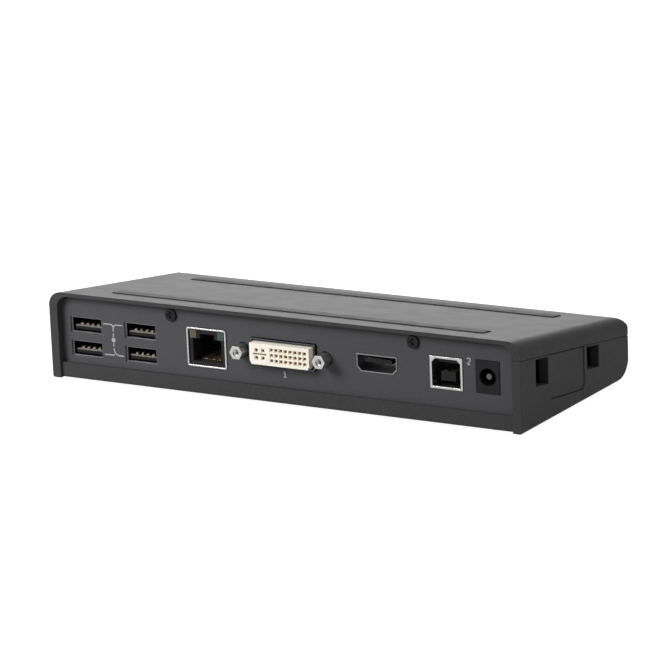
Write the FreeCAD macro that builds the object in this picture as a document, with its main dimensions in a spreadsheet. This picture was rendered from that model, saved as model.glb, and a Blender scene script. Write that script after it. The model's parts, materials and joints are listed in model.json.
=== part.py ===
import FreeCAD, Part
import math
import os
import Sketcher

# Laptop docking station: a wedge-shaped case whose sloping top carries the laptop,
# with the sockets in a recessed rear panel and a small fascia at the front.
# Millimetres. X runs across the case, the rear sockets face +Y, the user sits at -Y,
# and Z is up from the desk. The origin is under the middle of the case.

DIMENSIONS = {
    # case
    "case_width": 190.0, "case_depth": 81.2, "rear_height": 31.65, "front_height": 21.0,
    "cover_drop": 6.4, "side_wall": 3.4, "front_wall": 3.0, "floor_thickness": 2.0,
    "top_wall": 1.4, "shoulder_radius": 5.0, "corner_radius": 1.2, "nose_radius": 8.0,
    "rim_radius": 4.2, "bottom_edge_radius": 0.8, "foot_height": 1.0, "seam_chamfer": 0.25,
    # rear panel and the sill under it
    "panel_recess": 2.7, "panel_thickness": 1.8, "panel_sill": 5.6, "sill_setback": 1.0,
    "sill_round": 1.2, "fit_gap": 0.1, "port_gap": 0.12, "port_proud": 0.2,
    # main board
    "board_standoff": 1.3, "board_thickness": 1.6, "board_margin": 1.5,
    "board_front_inset": 7.0, "board_rear_gap": 1.6,
    # screws and their bosses
    "case_screw_inset": 15.0, "case_screw_rear": 12.0, "case_screw_front": -14.0,
    "screw_radius": 1.25, "screw_clearance": 0.15, "boss_radius": 3.2, "boss_clearance": 0.4,
    "case_screw_head_radius": 2.6, "case_screw_head_height": 1.6, "case_screw_length": 9.0,
    "board_screw_side": 45.0, "board_screw_rear": 9.0, "board_screw_front": -20.0,
    "board_screw_head_radius": 2.4, "board_screw_head_height": 1.3, "board_screw_bite": 2.4,
    "panel_screw_inset_left": 50.5, "panel_screw_inset_right": 42.0, "panel_screw_height": 27.15,
    "panel_screw_head_radius": 2.2, "panel_screw_head_height": 1.4, "panel_screw_length": 6.0,
    "panel_screw_sink": 0.7, "panel_screw_margin": 0.1, "panel_boss_width": 6.4, "panel_boss_depth": 7.0,
    "panel_boss_drop": 5.0, "drive_width": 0.7, "drive_span": 2.4, "drive_depth": 0.6,
    # feet, grip strips and floor vents
    "foot_radius": 5.0, "foot_bevel": 0.4, "foot_sink": 0.8, "foot_side_inset": 13.0,
    "foot_rear_inset": 9.5, "foot_front_inset": 14.0,
    "strip_length": 150.0, "strip_width": 6.0, "strip_thickness": 1.0, "strip_sink": 0.6,
    "strip_rear_inset": 14.0, "strip_front_inset": 16.0,
    "vent_length": 18.0, "vent_width": 1.8, "vent_pitch": 4.2, "vent_count": 13,
    # side latch holes and the side inserts between them
    "latch_rear": 10.7, "latch_width": 9.0, "latch_rear_height": 9.3,
    "latch_front": 48.4, "latch_front_height": 7.9, "latch_under_seam": 0.65,
    "insert_rear": 21.8, "insert_front": 46.4, "insert_low_rear": 6.65, "insert_low_front": 3.9,
    "insert_recess": 1.2, "insert_thickness": 1.0, "insert_gap": 0.3, "insert_corner": 2.4,
    # USB-A sockets: an upright pair in each stack
    "usb_left_inset": 13.8, "usb_right_inset": 36.9, "usb_lower_height": 11.0, "usb_pitch": 8.7,
    "usb_width": 13.1, "usb_height": 5.7, "usb_wall": 0.3, "usb_depth": 15.0,
    "usb_stack_width": 14.5, "usb_stack_crown": 3.4, "usb_cavity_depth": 12.0,
    "usb_tongue_width": 11.1, "usb_tongue_height": 1.85, "usb_tongue_setback": 1.0,
    "usb_contact_width": 1.1, "usb_contact_pitch": 2.3, "usb_contact_thickness": 0.25,
    "usb_setback": 0.4, "usb_bump_drop": 0.75, "usb_bump_length": 1.6,
    # network socket
    "network_offset": 30.2, "network_low": 9.45, "network_width": 16.3, "network_height": 14.15,
    "network_depth": 21.0, "network_shield_wall": 0.6, "network_bore_width": 11.8,
    "network_bore_height": 8.2, "network_bore_drop": 4.0, "network_bore_depth": 14.0,
    "network_latch_width": 6.0, "network_latch_height": 1.8, "network_contact_pitch": 1.02,
    "network_contact_width": 0.4, "network_window_width": 2.7, "network_window_height": 3.0,
    "network_contact_rise": 2.35,
    # DVI-I socket
    "dvi_offset": -1.5, "dvi_height": 17.55, "dvi_insert_width": 24.0, "dvi_insert_height": 7.5,
    "dvi_insert_reach": 3.4, "dvi_corner": 1.3, "dvi_shell_gap": 0.55, "dvi_shell_wall": 0.45,
    "dvi_shell_reach": 0.8, "dvi_flange_width": 40.0, "dvi_flange_height": 12.5,
    "dvi_flange_thickness": 1.0, "dvi_housing_width": 37.0, "dvi_housing_depth": 9.0,
    "dvi_pin_pitch": 1.905, "dvi_first_column": -10.2, "dvi_socket_width": 1.35,
    "dvi_contact_wall": 0.22, "dvi_contact_sink": 0.35, "dvi_contact_depth": 4.0,
    "dvi_blade_offset": 7.9, "dvi_blade_span": 5.5,
    "dvi_blade_slot": 0.7, "dvi_blade_pin_side": 1.35, "dvi_blade_pin_rise": 1.35,
    "jackscrew_spacing": 33.3, "jackscrew_reach": 5.0, "jackscrew_flat": 2.6,
    "jackscrew_bore": 1.25, "jackscrew_bore_depth": 4.5, "jackscrew_tail": 4.0,
    # HDMI socket
    "hdmi_inset": 56.5, "hdmi_height": 17.85, "hdmi_width": 15.1, "hdmi_rise": 5.6,
    "hdmi_taper": 1.6, "hdmi_wall": 0.3, "hdmi_depth": 12.0, "hdmi_cavity_depth": 9.0,
    "hdmi_tongue_width": 10.6, "hdmi_tongue_height": 1.3,
    # USB type B socket
    "usb_b_inset": 29.6, "usb_b_low": 11.85, "usb_b_width": 12.5, "usb_b_rise": 11.3,
    "usb_b_wall": 0.4, "usb_b_depth": 16.0, "usb_b_cavity_depth": 11.0,
    "usb_b_tongue_width": 5.6, "usb_b_tongue_height": 3.2, "usb_b_step_width": 7.8,
    "usb_b_step_height": 1.3,
    # DC power socket
    "dc_inset": 13.8, "dc_height": 17.75, "dc_width": 9.0, "dc_rise": 11.4, "dc_depth": 14.0,
    "dc_bore": 3.1, "dc_bore_depth": 9.5, "dc_pin_radius": 1.0, "dc_pin_length": 8.5,
    # front fascia and what it holds
    "fascia_half_width": 50.0, "fascia_low": 4.0, "fascia_rise": 9.0, "fascia_recess": 1.3,
    "fascia_flange": 0.9, "fascia_flange_thickness": 0.8,
    "front_usb_left": 10.0, "front_usb_right": -12.0, "front_usb_depth": 13.0,
    "headphone_offset": -30.0, "microphone_offset": -42.0, "audio_bore": 1.8,
    "audio_barrel": 2.9, "audio_width": 6.6, "audio_rise": 5.6, "audio_depth": 12.0,
    "audio_bore_length": 13.0,
    "button_offset": 40.0, "button_radius": 3.1, "button_gap": 0.3, "button_rise": 8.1,
    "button_proud": 0.5, "button_collar": 0.6, "button_collar_thickness": 0.8,
    "button_travel": 0.4, "plunger_radius": 1.0, "plunger_length": 2.2, "plunger_gap": 0.3,
    "switch_width": 6.0, "switch_depth": 3.6, "switch_rise": 6.2,
    "light_offset": 28.0, "light_radius": 1.1, "light_depth": 8.0, "light_foot": 2.4,
    # parts on the board
    "display_chip_size": 14.0, "display_chip_height": 1.2, "display_chip_y": -4.0,
    "heat_sink_size": 22.0, "heat_sink_base": 1.5, "heat_sink_height": 6.0,
    "heat_sink_fin": 1.1, "heat_sink_fin_count": 7,
    "hub_chip_size": 9.0, "hub_chip_height": 1.0, "hub_chip_x": 62.0, "hub_chip_y": 4.0,
    "transformer_width": 15.0, "transformer_depth": 8.0, "transformer_height": 5.0,
    "transformer_y": 2.0,
    "capacitor_radius": 3.0, "capacitor_height": 8.0, "capacitor_x": -70.0,
    "capacitor_y": 6.0, "capacitor_pitch": 8.5, "capacitor_count": 3,
}

DOCUMENT = FreeCAD.newDocument("docking_station")
SHEET = DOCUMENT.addObject("Spreadsheet::Sheet", "dims")
for row, (alias, number) in enumerate(DIMENSIONS.items(), start=1):
    SHEET.set(f"A{row}", str(number))
    SHEET.setAlias(f"A{row}", alias)
DOCUMENT.recompute()

# Levels and faces that several pieces share, as expressions of the sheet's cells.
BASE = "dims.foot_height"
HALF_WIDTH = "(dims.case_width / 2)"
OVERHANG = "(dims.jackscrew_reach - dims.panel_recess)"
REAR = f"((dims.case_depth - {OVERHANG}) / 2)"
FRONT = f"(-(dims.case_depth + {OVERHANG}) / 2)"
SLOPE = "(dims.rear_height - dims.front_height) / dims.case_depth"
INNER_HALF = f"({HALF_WIDTH} - dims.side_wall)"
FLOOR_TOP = f"({BASE} + dims.floor_thickness)"
BOARD_LOW = f"({FLOOR_TOP} + dims.board_standoff)"
BOARD_TOP = f"({BOARD_LOW} + dims.board_thickness)"
PANEL_FACE = f"({REAR} - dims.panel_recess)"
PANEL_BACK = f"({PANEL_FACE} - dims.panel_thickness)"
SOCKET_FRONT = f"({PANEL_BACK} - dims.fit_gap)"
SILL_TOP = f"({BASE} + dims.panel_sill)"
FASCIA_FACE = f"({FRONT} + dims.fascia_recess)"
FASCIA_BACK = f"({FRONT} + dims.front_wall + dims.fascia_flange_thickness)"
FASCIA_LOW = f"({BASE} + dims.fascia_low)"
SCREW_HOLE = "(dims.screw_radius + dims.screw_clearance)"
USB_LEFT = f"({HALF_WIDTH} - dims.usb_left_inset)"
USB_RIGHT = f"({HALF_WIDTH} - dims.usb_right_inset)"
USB_LOWER = f"({BASE} + dims.usb_lower_height)"
USB_UPPER = f"({USB_LOWER} + dims.usb_pitch)"
NETWORK_LOW = f"({BASE} + dims.network_low)"
NETWORK_TOP = f"({NETWORK_LOW} + dims.network_height)"
DVI_MID = f"({BASE} + dims.dvi_height)"
HDMI_X = f"(-{HALF_WIDTH} + dims.hdmi_inset)"
HDMI_MID = f"({BASE} + dims.hdmi_height)"
USB_B_X = f"(-{HALF_WIDTH} + dims.usb_b_inset)"
USB_B_LOW = f"({BASE} + dims.usb_b_low)"
DC_X = f"(-{HALF_WIDTH} + dims.dc_inset)"
DC_MID = f"({BASE} + dims.dc_height)"
CASE_SCREW_X = f"({HALF_WIDTH} - dims.case_screw_inset)"
PANEL_SCREW_MID = f"({BASE} + dims.panel_screw_height)"
BUTTON_MID = f"({BASE} + dims.button_rise)"
FRONT_USB_MID = f"({BOARD_TOP} + dims.usb_height / 2)"
AUDIO_MID = f"({BOARD_TOP} + dims.audio_rise / 2)"
SWITCH_FRONT = (f"({FASCIA_BACK} + dims.button_collar_thickness + dims.plunger_gap"
                f" + dims.button_travel)")

NODES = {}


def top_at(y, drop="0"):
    """Height of the sloping top at y, or of a plane a given drop below it."""
    return f"({BASE} + dims.rear_height - ({REAR} - ({y})) * {SLOPE} - ({drop}))"


def seam_at(y):
    """Height of the seam between tray and cover at y."""
    return top_at(y, "dims.cover_drop")


def value(expression):
    """The present value of an expression."""
    return float(SHEET.evalExpression(expression))


def keep(label, shape_object):
    """Name the finished object of one sub-part."""
    shape_object.Label = label
    NODES[label] = shape_object
    return shape_object


# ---- Part primitives and booleans, bound to the sheet --------------------------------

def locate(thing, x, y, z):
    for axis, expression in zip("xyz", (x, y, z)):
        thing.setExpression(f"Placement.Base.{axis}", expression)


def block(name, x_mid, y_low, z_low, width, depth, height):
    """A box centred on x_mid that starts at y_low and z_low."""
    box = DOCUMENT.addObject("Part::Box", name)
    box.setExpression("Length", width)
    box.setExpression("Width", depth)
    box.setExpression("Height", height)
    locate(box, f"{x_mid} - ({width}) / 2", y_low, z_low)
    return box


def rod_up(name, x, y, z_low, radius, height):
    """A cylinder along +Z."""
    rod = DOCUMENT.addObject("Part::Cylinder", name)
    rod.setExpression("Radius", radius)
    rod.setExpression("Height", height)
    locate(rod, x, y, z_low)
    return rod


def peg_up(name, x, y, z_low, radius, height, sides=8):
    """A many-sided stand-in for a rod that stays out of sight, along +Z."""
    peg = DOCUMENT.addObject("Part::Prism", name)
    peg.Polygon = sides
    peg.setExpression("Circumradius", radius)
    peg.setExpression("Height", height)
    locate(peg, x, y, z_low)
    return peg


def rod_back(name, x, y_low, z, radius, length):
    """A cylinder along +Y."""
    rod = rod_up(name, x, y_low, z, radius, length)
    rod.Placement = FreeCAD.Placement(FreeCAD.Vector(), FreeCAD.Rotation(FreeCAD.Vector(1, 0, 0), -90))
    locate(rod, x, y_low, z)
    return rod


def group(name, members):
    """Separate solids held as one object."""
    compound = DOCUMENT.addObject("Part::Compound", name)
    compound.Links = members
    return compound


def fuse(name, members):
    joined = DOCUMENT.addObject("Part::MultiFuse", name)
    joined.Shapes = members
    joined.Refine = True
    return joined


def cut(name, base, tools):
    """A base shape less one tool or several."""
    result = DOCUMENT.addObject("Part::Cut", name)
    result.Base = base
    result.Tool = tools[0] if len(tools) == 1 else group(f"{name}_tools", tools)
    return result


def cross_recess(name, x, y, z, upright):
    """The crossed slots of a screw drive, sunk from the face at y (or at z when upright)."""
    width, span, depth = "dims.drive_width", "dims.drive_span", "dims.drive_depth"
    if upright:
        low = f"{y} - {span} / 2"
        narrow = f"{y} - {width} / 2"
        return [block(f"{name}_a", x, low, z, width, span, depth),
                block(f"{name}_b", x, narrow, z, span, width, depth)]
    face = f"{y} - {depth}"
    return [block(f"{name}_a", x, face, f"{z} - {span} / 2", width, depth, span),
            block(f"{name}_b", x, face, f"{z} - {width} / 2", span, depth, width)]


# ---- PartDesign bodies ---------------------------------------------------------------

def new_body(name):
    return DOCUMENT.addObject("PartDesign::Body", name)


def sketch_on(body, role, name, offset="0"):
    """A sketch on one of the body's origin planes, moved along that plane's normal."""
    sketch = body.newObject("Sketcher::SketchObject", name)
    plane = next(item for item in body.Origin.OriginFeatures if item.Role == role)
    sketch.AttachmentSupport = (plane, [""])
    sketch.MapMode = "FlatFace"
    sketch.setExpression("AttachmentOffset.Base.z", offset)
    return sketch


def pin_point(sketch, geometry, point, x, y):
    """Hold one point of a sketch at coordinates given by expressions."""
    for kind, axis, expression in (("DistanceX", -2, x), ("DistanceY", -1, y)):
        number = value(expression)
        if abs(number) < 1e-9:
            sketch.addConstraint(Sketcher.Constraint("PointOnObject", geometry, point, axis))
            continue
        index = sketch.addConstraint(
            Sketcher.Constraint(kind, -1, 1, geometry, point, number))
        sketch.setExpression(f"Constraints[{index}]", expression)


def add_polygon(sketch, corners):
    """A closed outline through corners whose coordinates are expressions."""
    first = sketch.GeometryCount
    points = [FreeCAD.Vector(value(x), value(y), 0) for x, y in corners]
    count = len(points)
    for index, start in enumerate(points):
        sketch.addGeometry(Part.LineSegment(start, points[(index + 1) % count]), False)
    for index in range(count):
        sketch.addConstraint(Sketcher.Constraint(
            "Coincident", first + index, 2, first + (index + 1) % count, 1))
    for index, (x, y) in enumerate(corners):
        pin_point(sketch, first + index, 1, x, y)


def add_rectangle(sketch, x_mid, y_mid, width, height):
    left, right = f"{x_mid} - ({width}) / 2", f"{x_mid} + ({width}) / 2"
    low, high = f"{y_mid} - ({height}) / 2", f"{y_mid} + ({height}) / 2"
    add_polygon(sketch, [(left, low), (right, low), (right, high), (left, high)])


def add_circle(sketch, x, y, radius):
    centre = FreeCAD.Vector(value(x), value(y), 0)
    index = sketch.addGeometry(
        Part.Circle(centre, FreeCAD.Vector(0, 0, 1), value(radius)), False)
    pin_point(sketch, index, 3, x, y)
    held = sketch.addConstraint(Sketcher.Constraint("Radius", index, value(radius)))
    sketch.setExpression(f"Constraints[{held}]", radius)


def add_octagon(sketch, x, y, radius):
    """The outline of a moulded screw boss, eight-sided, that holds a circle of this radius."""
    corner = f"({radius}) / cos(22.5)"
    turns = [22.5 + 45 * index for index in range(8)]
    add_polygon(sketch, [(f"{x} + {corner} * cos({turn})", f"{y} + {corner} * sin({turn})")
                         for turn in turns])


def pad(body, sketch, name, length, symmetric=False, reverse=False):
    feature = body.newObject("PartDesign::Pad", name)
    feature.Profile = (sketch, [""])
    feature.setExpression("Length", length)
    feature.SideType = "Symmetric" if symmetric else "One side"
    feature.Reversed = reverse
    DOCUMENT.recompute()
    return feature


def pocket(body, sketch, name, length, symmetric=False, reverse=False):
    """A pocket that must take material away."""
    before = body.Shape.Volume
    feature = body.newObject("PartDesign::Pocket", name)
    feature.Profile = (sketch, [""])
    feature.setExpression("Length", length)
    feature.SideType = "Symmetric" if symmetric else "One side"
    feature.Reversed = reverse
    DOCUMENT.recompute()
    if body.Shape.Volume > before - 1e-6:
        raise RuntimeError(f"{name} cuts nothing")
    return feature


def round_edges(body, name, radius, wanted, kind="PartDesign::Fillet"):
    """Round (or chamfer) the edges of the body's tip that the test picks."""
    tip = body.Tip
    edges = [f"Edge{index}" for index, edge in enumerate(tip.Shape.Edges, start=1)
             if wanted(edge)]
    if not edges:
        raise RuntimeError(f"{name} finds no edge")
    feature = body.newObject(kind, name)
    feature.Base = (tip, edges)
    feature.setExpression("Radius" if kind.endswith("Fillet") else "Size", radius)
    DOCUMENT.recompute()
    return feature


def along(edge, x=0.0, y=0.0, z=0.0):
    """Whether an edge is straight and runs along the given direction."""
    if len(edge.Vertexes) != 2:
        return False
    span = edge.Vertexes[1].Point - edge.Vertexes[0].Point
    if span.Length < 1e-6 or abs(span.Length - edge.Length) > 1e-6:
        return False
    return abs(abs(span.normalize().dot(FreeCAD.Vector(x, y, z))) - 1.0) < 1e-6


def near(first, second):
    return abs(first - second) < 1e-3


# ---- case ----------------------------------------------------------------------------

def cut_plan_corners(body, name):
    """Round the two upright front corners of a shell, right through its curved front."""
    sketch = sketch_on(body, "XY_Plane", f"{name}_front_corners")
    radius = "dims.corner_radius"
    over = "1"
    for side, begin, end_first in (("", -math.pi / 2, True), ("-", math.pi, False)):
        edge = f"{side}{HALF_WIDTH}"
        outer = f"{side}({HALF_WIDTH} + {over})"
        inner = f"{side}({HALF_WIDTH} - {radius})"
        front, back = FRONT, f"{FRONT} + {radius}"
        far = f"{FRONT} - {over}"
        first = sketch.GeometryCount
        corners = [(inner, front), (inner, far), (outer, far), (outer, back), (edge, back)]
        points = [FreeCAD.Vector(value(x), value(y), 0) for x, y in corners]
        for start, end in zip(points, points[1:]):
            sketch.addGeometry(Part.LineSegment(start, end), False)
        circle = Part.Circle(FreeCAD.Vector(value(inner), value(back), 0),
                             FreeCAD.Vector(0, 0, 1), value(radius))
        arc = sketch.addGeometry(Part.ArcOfCircle(circle, begin, begin + math.pi / 2), False)
        at_edge, at_front = (2, 1) if end_first else (1, 2)
        for index in range(3):
            sketch.addConstraint(Sketcher.Constraint(
                "Coincident", first + index, 2, first + index + 1, 1))
        sketch.addConstraint(Sketcher.Constraint("Coincident", first + 3, 2, arc, at_edge))
        sketch.addConstraint(Sketcher.Constraint("Coincident", arc, at_front, first, 1))
        for index, (x, y) in enumerate(corners[:4]):
            pin_point(sketch, first + index, 1, x, y)
        pin_point(sketch, arc, at_edge, edge, back)
        held = sketch.addConstraint(
            Sketcher.Constraint("DistanceX", -1, 1, arc, 3, value(inner)))
        sketch.setExpression(f"Constraints[{held}]", inner)
    pocket(body, sketch, f"{name}_front_corners_cut", "2 * dims.case_depth", symmetric=True)


def chamfer_seam(body, name):
    """A small bevel on a shell's outer edge at the seam, which makes the joint line."""
    half, front = value(HALF_WIDTH), value(FRONT)
    round_corner = value("dims.corner_radius")

    def on_seam(edge):
        centre = edge.CenterOfMass
        outside = (abs(centre.x) > half - round_corner - 1e-3
                   or centre.y < front + round_corner + 1e-3)
        return outside and all(near(vertex.Z, value(seam_at(str(vertex.Y))))
                               for vertex in edge.Vertexes)

    round_edges(body, f"{name}_seam_bevel", "dims.seam_chamfer", on_seam, "PartDesign::Chamfer")


def side_cut(body, name, corners, depth, side):
    """A pocket into one side wall from outside; side is 1 for +X and -1 for -X."""
    sketch = sketch_on(body, "YZ_Plane", f"{name}_outline", f"{side} * {HALF_WIDTH}")
    add_polygon(sketch, corners)
    pocket(body, sketch, name, depth, reverse=side < 0)


def latch_corners(start, height):
    """A latch hole whose top and bottom run parallel to the sloping seam."""
    corners = []
    for y in (f"({REAR} - {start})", f"({REAR} - {start} - dims.latch_width)"):
        top = f"{seam_at(y)} - dims.latch_under_seam"
        corners.append([(y, f"{top} - {height}"), (y, top)])
    (rear_low, rear_top), (front_low, front_top) = corners
    return [rear_low, front_low, front_top, rear_top]


def insert_corners(gap):
    """The outline of a side insert, drawn in by a gap."""
    rear = f"({REAR} - dims.insert_rear - {gap})"
    front = f"({REAR} - dims.insert_front + {gap})"
    return [(rear, f"{BASE} + dims.insert_low_rear + {gap}"),
            (front, f"{BASE} + dims.insert_low_front + {gap}"),
            (front, f"{seam_at(front)} - {gap}"), (rear, f"{seam_at(rear)} - {gap}")]


def round_insert_corner(body, name, gap, radius):
    """Round the lower front corner of an insert or of its seat."""
    front, low = (value(text) for text in insert_corners(gap)[1])
    round_edges(body, name, radius,
                lambda e: along(e, x=1) and near(e.CenterOfMass.y, front)
                and near(e.CenterOfMass.z, low))


def foot_places():
    side = f"({HALF_WIDTH} - dims.foot_side_inset)"
    rear, front = f"({REAR} - dims.foot_rear_inset)", f"({FRONT} + dims.foot_front_inset)"
    return {"rubber_foot_rear_left": (side, rear), "rubber_foot_rear_right": (f"-{side}", rear),
            "rubber_foot_front_left": (side, front), "rubber_foot_front_right": (f"-{side}", front)}


def case_screw_places():
    return [(f"{sign}{CASE_SCREW_X}", row) for sign in ("", "-")
            for row in ("dims.case_screw_rear", "dims.case_screw_front")]


def board_screw_places():
    return [(f"{sign}dims.board_screw_side", row) for sign in ("", "-")
            for row in ("dims.board_screw_rear", "dims.board_screw_front")]


def bottom_tray():
    """The lower shell: floor, side walls, curved nose, sill, bosses, vents and foot wells."""
    body = new_body("tray")
    outline = sketch_on(body, "YZ_Plane", "tray_side")
    add_polygon(outline, [(REAR, BASE), (REAR, seam_at(REAR)), (FRONT, seam_at(FRONT)),
                          (FRONT, BASE)])
    pad(body, outline, "tray_block", "dims.case_width", symmetric=True)
    front, base, half = value(FRONT), value(BASE), value(HALF_WIDTH)
    round_edges(body, "nose", "dims.nose_radius",
                lambda e: along(e, x=1) and near(e.CenterOfMass.y, front)
                and near(e.CenterOfMass.z, base))
    cut_plan_corners(body, "tray")
    chamfer_seam(body, "tray")
    round_edges(body, "bottom_edges", "dims.bottom_edge_radius",
                lambda e: along(e, y=1) and near(abs(e.CenterOfMass.x), half)
                and near(e.CenterOfMass.z, base))
    inside = sketch_on(body, "YZ_Plane", "tray_inside")
    add_polygon(inside, [(f"{FRONT} + dims.front_wall", FLOOR_TOP), (PANEL_BACK, FLOOR_TOP),
                         (PANEL_BACK, SILL_TOP), (f"{REAR} + 1", SILL_TOP),
                         (f"{REAR} + 1", f"{BASE} + 2 * dims.rear_height"),
                         (f"{FRONT} + dims.front_wall", f"{BASE} + 2 * dims.rear_height")])
    pocket(body, inside, "tray_room", f"2 * {INNER_HALF}", symmetric=True)
    setback = sketch_on(body, "YZ_Plane", "sill_face")
    add_polygon(setback, [(f"{REAR} - dims.sill_setback", f"{BASE} - 1"), (f"{REAR} + 1", f"{BASE} - 1"),
                          (f"{REAR} + 1", f"{SILL_TOP} + 1"),
                          (f"{REAR} - dims.sill_setback", f"{SILL_TOP} + 1")])
    pocket(body, setback, "sill_cut", f"2 * {INNER_HALF}", symmetric=True)
    sill_y = value(f"{REAR} - dims.sill_setback")
    round_edges(body, "sill_edge", "dims.sill_round",
                lambda e: along(e, x=1) and near(e.CenterOfMass.y, sill_y)
                and near(e.CenterOfMass.z, base))
    for side in (1, -1):
        word = "left" if side > 0 else "right"
        side_cut(body, f"latch_rear_{word}", latch_corners("dims.latch_rear", "dims.latch_rear_height"),
                 "dims.side_wall + 1", side)
        side_cut(body, f"latch_front_{word}",
                 latch_corners("dims.latch_front", "dims.latch_front_height"),
                 "dims.side_wall + 1", side)
        side_cut(body, f"insert_seat_{word}", insert_corners("0"), "dims.insert_recess", side)
    round_insert_corner(body, "insert_seat_corners", "0", "dims.insert_corner + dims.insert_gap")
    window = sketch_on(body, "XZ_Plane", "fascia_window", f"-{FRONT}")
    add_rectangle(window, "0", f"({FASCIA_LOW} + dims.fascia_rise / 2)",
                  "2 * dims.fascia_half_width", "dims.fascia_rise")
    pocket(body, window, "fascia_window_cut", "dims.front_wall + 1")
    standoffs = sketch_on(body, "XY_Plane", "standoff_plan", FLOOR_TOP)
    for x, y in board_screw_places():
        add_octagon(standoffs, x, y, "dims.boss_radius")
    pad(body, standoffs, "standoffs", "dims.board_standoff")
    bosses = sketch_on(body, "XY_Plane", "boss_plan", FLOOR_TOP)
    for x, y in case_screw_places():
        add_octagon(bosses, x, y, "dims.boss_radius")
    pad(body, bosses, "bosses", "dims.board_standoff + dims.board_thickness + 0.3")
    pilot = sketch_on(body, "XY_Plane", "pilot_plan", BOARD_LOW)
    for x, y in board_screw_places():
        add_octagon(pilot, x, y, "dims.screw_radius + 0.05")
    pocket(body, pilot, "board_pilots", "dims.board_screw_bite + 0.3")
    shank = sketch_on(body, "XY_Plane", "shank_plan", BASE)
    for x, y in case_screw_places():
        add_octagon(shank, x, y, SCREW_HOLE)
    pocket(body, shank, "shank_holes", "20", symmetric=True)
    sink = sketch_on(body, "XY_Plane", "sink_plan", BASE)
    for x, y in case_screw_places():
        add_circle(sink, x, y, "dims.case_screw_head_radius + dims.screw_clearance")
    pocket(body, sink, "head_wells", "2 * dims.case_screw_head_height", symmetric=True)
    wells = sketch_on(body, "XY_Plane", "foot_wells_plan", BASE)
    for x, y in foot_places().values():
        add_circle(wells, x, y, "dims.foot_radius + dims.fit_gap")
    pocket(body, wells, "foot_wells", "2 * dims.foot_sink", symmetric=True)
    slot = sketch_on(body, "XY_Plane", "vent_plan", BASE)
    add_rectangle(slot, "-(dims.vent_count - 1) / 2 * dims.vent_pitch", "dims.display_chip_y",
                  "dims.vent_width", "dims.vent_length")
    vent = pocket(body, slot, "vent", "4 * dims.floor_thickness", symmetric=True)
    vents = body.newObject("PartDesign::LinearPattern", "vents")
    vents.Originals = [vent]
    vents.Direction = (slot, ["H_Axis"])
    vents.setExpression("Length", "(dims.vent_count - 1) * dims.vent_pitch")
    vents.setExpression("Occurrences", "dims.vent_count")
    body.Tip = vents
    DOCUMENT.recompute()
    return keep("bottom_tray", body)


def top_cover():
    """The upper shell: sloping top, rounded shoulders, screw posts and panel bosses."""
    body = new_body("cover")
    outline = sketch_on(body, "YZ_Plane", "cover_side")
    add_polygon(outline, [(REAR, seam_at(REAR)), (REAR, top_at(REAR)), (FRONT, top_at(FRONT)),
                          (FRONT, seam_at(FRONT))])
    pad(body, outline, "cover_block", "dims.case_width", symmetric=True)
    front, half = value(FRONT), value(HALF_WIDTH)
    front_top = value(top_at(FRONT))

    def shoulder(edge):
        centre = edge.CenterOfMass
        if along(edge, x=1):
            return near(centre.y, front) and near(centre.z, front_top)
        return near(abs(centre.x), half) and near(centre.z, value(top_at(str(centre.y))))

    round_edges(body, "shoulders", "dims.shoulder_radius", shoulder)
    cut_plan_corners(body, "cover")
    chamfer_seam(body, "cover")
    inside = sketch_on(body, "YZ_Plane", "cover_inside")
    inner_front = f"{FRONT} + dims.front_wall"
    beyond = f"{REAR} + 1"
    add_polygon(inside, [(beyond, f"{seam_at(beyond)} - 1"), (beyond, top_at(beyond, "dims.top_wall")),
                         (inner_front, top_at(inner_front, "dims.top_wall")),
                         (inner_front, f"{seam_at(inner_front)} - 1")])
    pocket(body, inside, "cover_room", f"2 * {INNER_HALF}", symmetric=True)
    inner_half = value(INNER_HALF)
    round_edges(body, "rim", "dims.rim_radius",
                lambda e: e.Length > 20 and near(abs(e.CenterOfMass.x), inner_half)
                and near(e.CenterOfMass.z,
                         value(top_at(str(e.CenterOfMass.y), "dims.top_wall"))))
    post_low = f"({BOARD_TOP} + 0.3)"
    for word in ("rear", "front"):
        row = f"dims.case_screw_{word}"
        posts = sketch_on(body, "XY_Plane", f"{word}_post_plan", post_low)
        for sign in ("", "-"):
            add_octagon(posts, f"{sign}{CASE_SCREW_X}", row, "dims.boss_radius")
        pad(body, posts, f"{word}_posts",
            f"{top_at(row, 'dims.top_wall / 2')} - {post_low}")
    holes = sketch_on(body, "XY_Plane", "post_holes", post_low)
    for x, y in case_screw_places():
        add_octagon(holes, x, y, "dims.screw_radius + 0.05")
    pocket(body, holes, "post_pilots", "dims.case_screw_length", reverse=True)
    blocks = sketch_on(body, "XZ_Plane", "panel_boss_plan", f"-{SOCKET_FRONT}")
    high = f"{top_at(PANEL_BACK, 'dims.top_wall')} + 0.3"
    low = f"({PANEL_SCREW_MID} - dims.panel_boss_drop / 2)"
    for x in panel_screw_sides():
        left, right = f"{x} - dims.panel_boss_width / 2", f"{x} + dims.panel_boss_width / 2"
        add_polygon(blocks, [(left, low), (right, low), (right, high), (left, high)])
    pad(body, blocks, "panel_bosses", "dims.panel_boss_depth")
    screw_holes = sketch_on(body, "XZ_Plane", "panel_pilot_plan", f"-{SOCKET_FRONT}")
    for x in panel_screw_sides():
        add_octagon(screw_holes, x, PANEL_SCREW_MID, "dims.screw_radius + 0.05")
    pocket(body, screw_holes, "panel_pilots", "dims.panel_screw_length", reverse=True)
    cut_strip_seats(body)
    return keep("top_cover", body)


def strip_rows():
    return {"grip_strip_rear": f"({REAR} - dims.strip_rear_inset)",
            "grip_strip_front": f"({FRONT} + dims.strip_front_inset)"}


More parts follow.
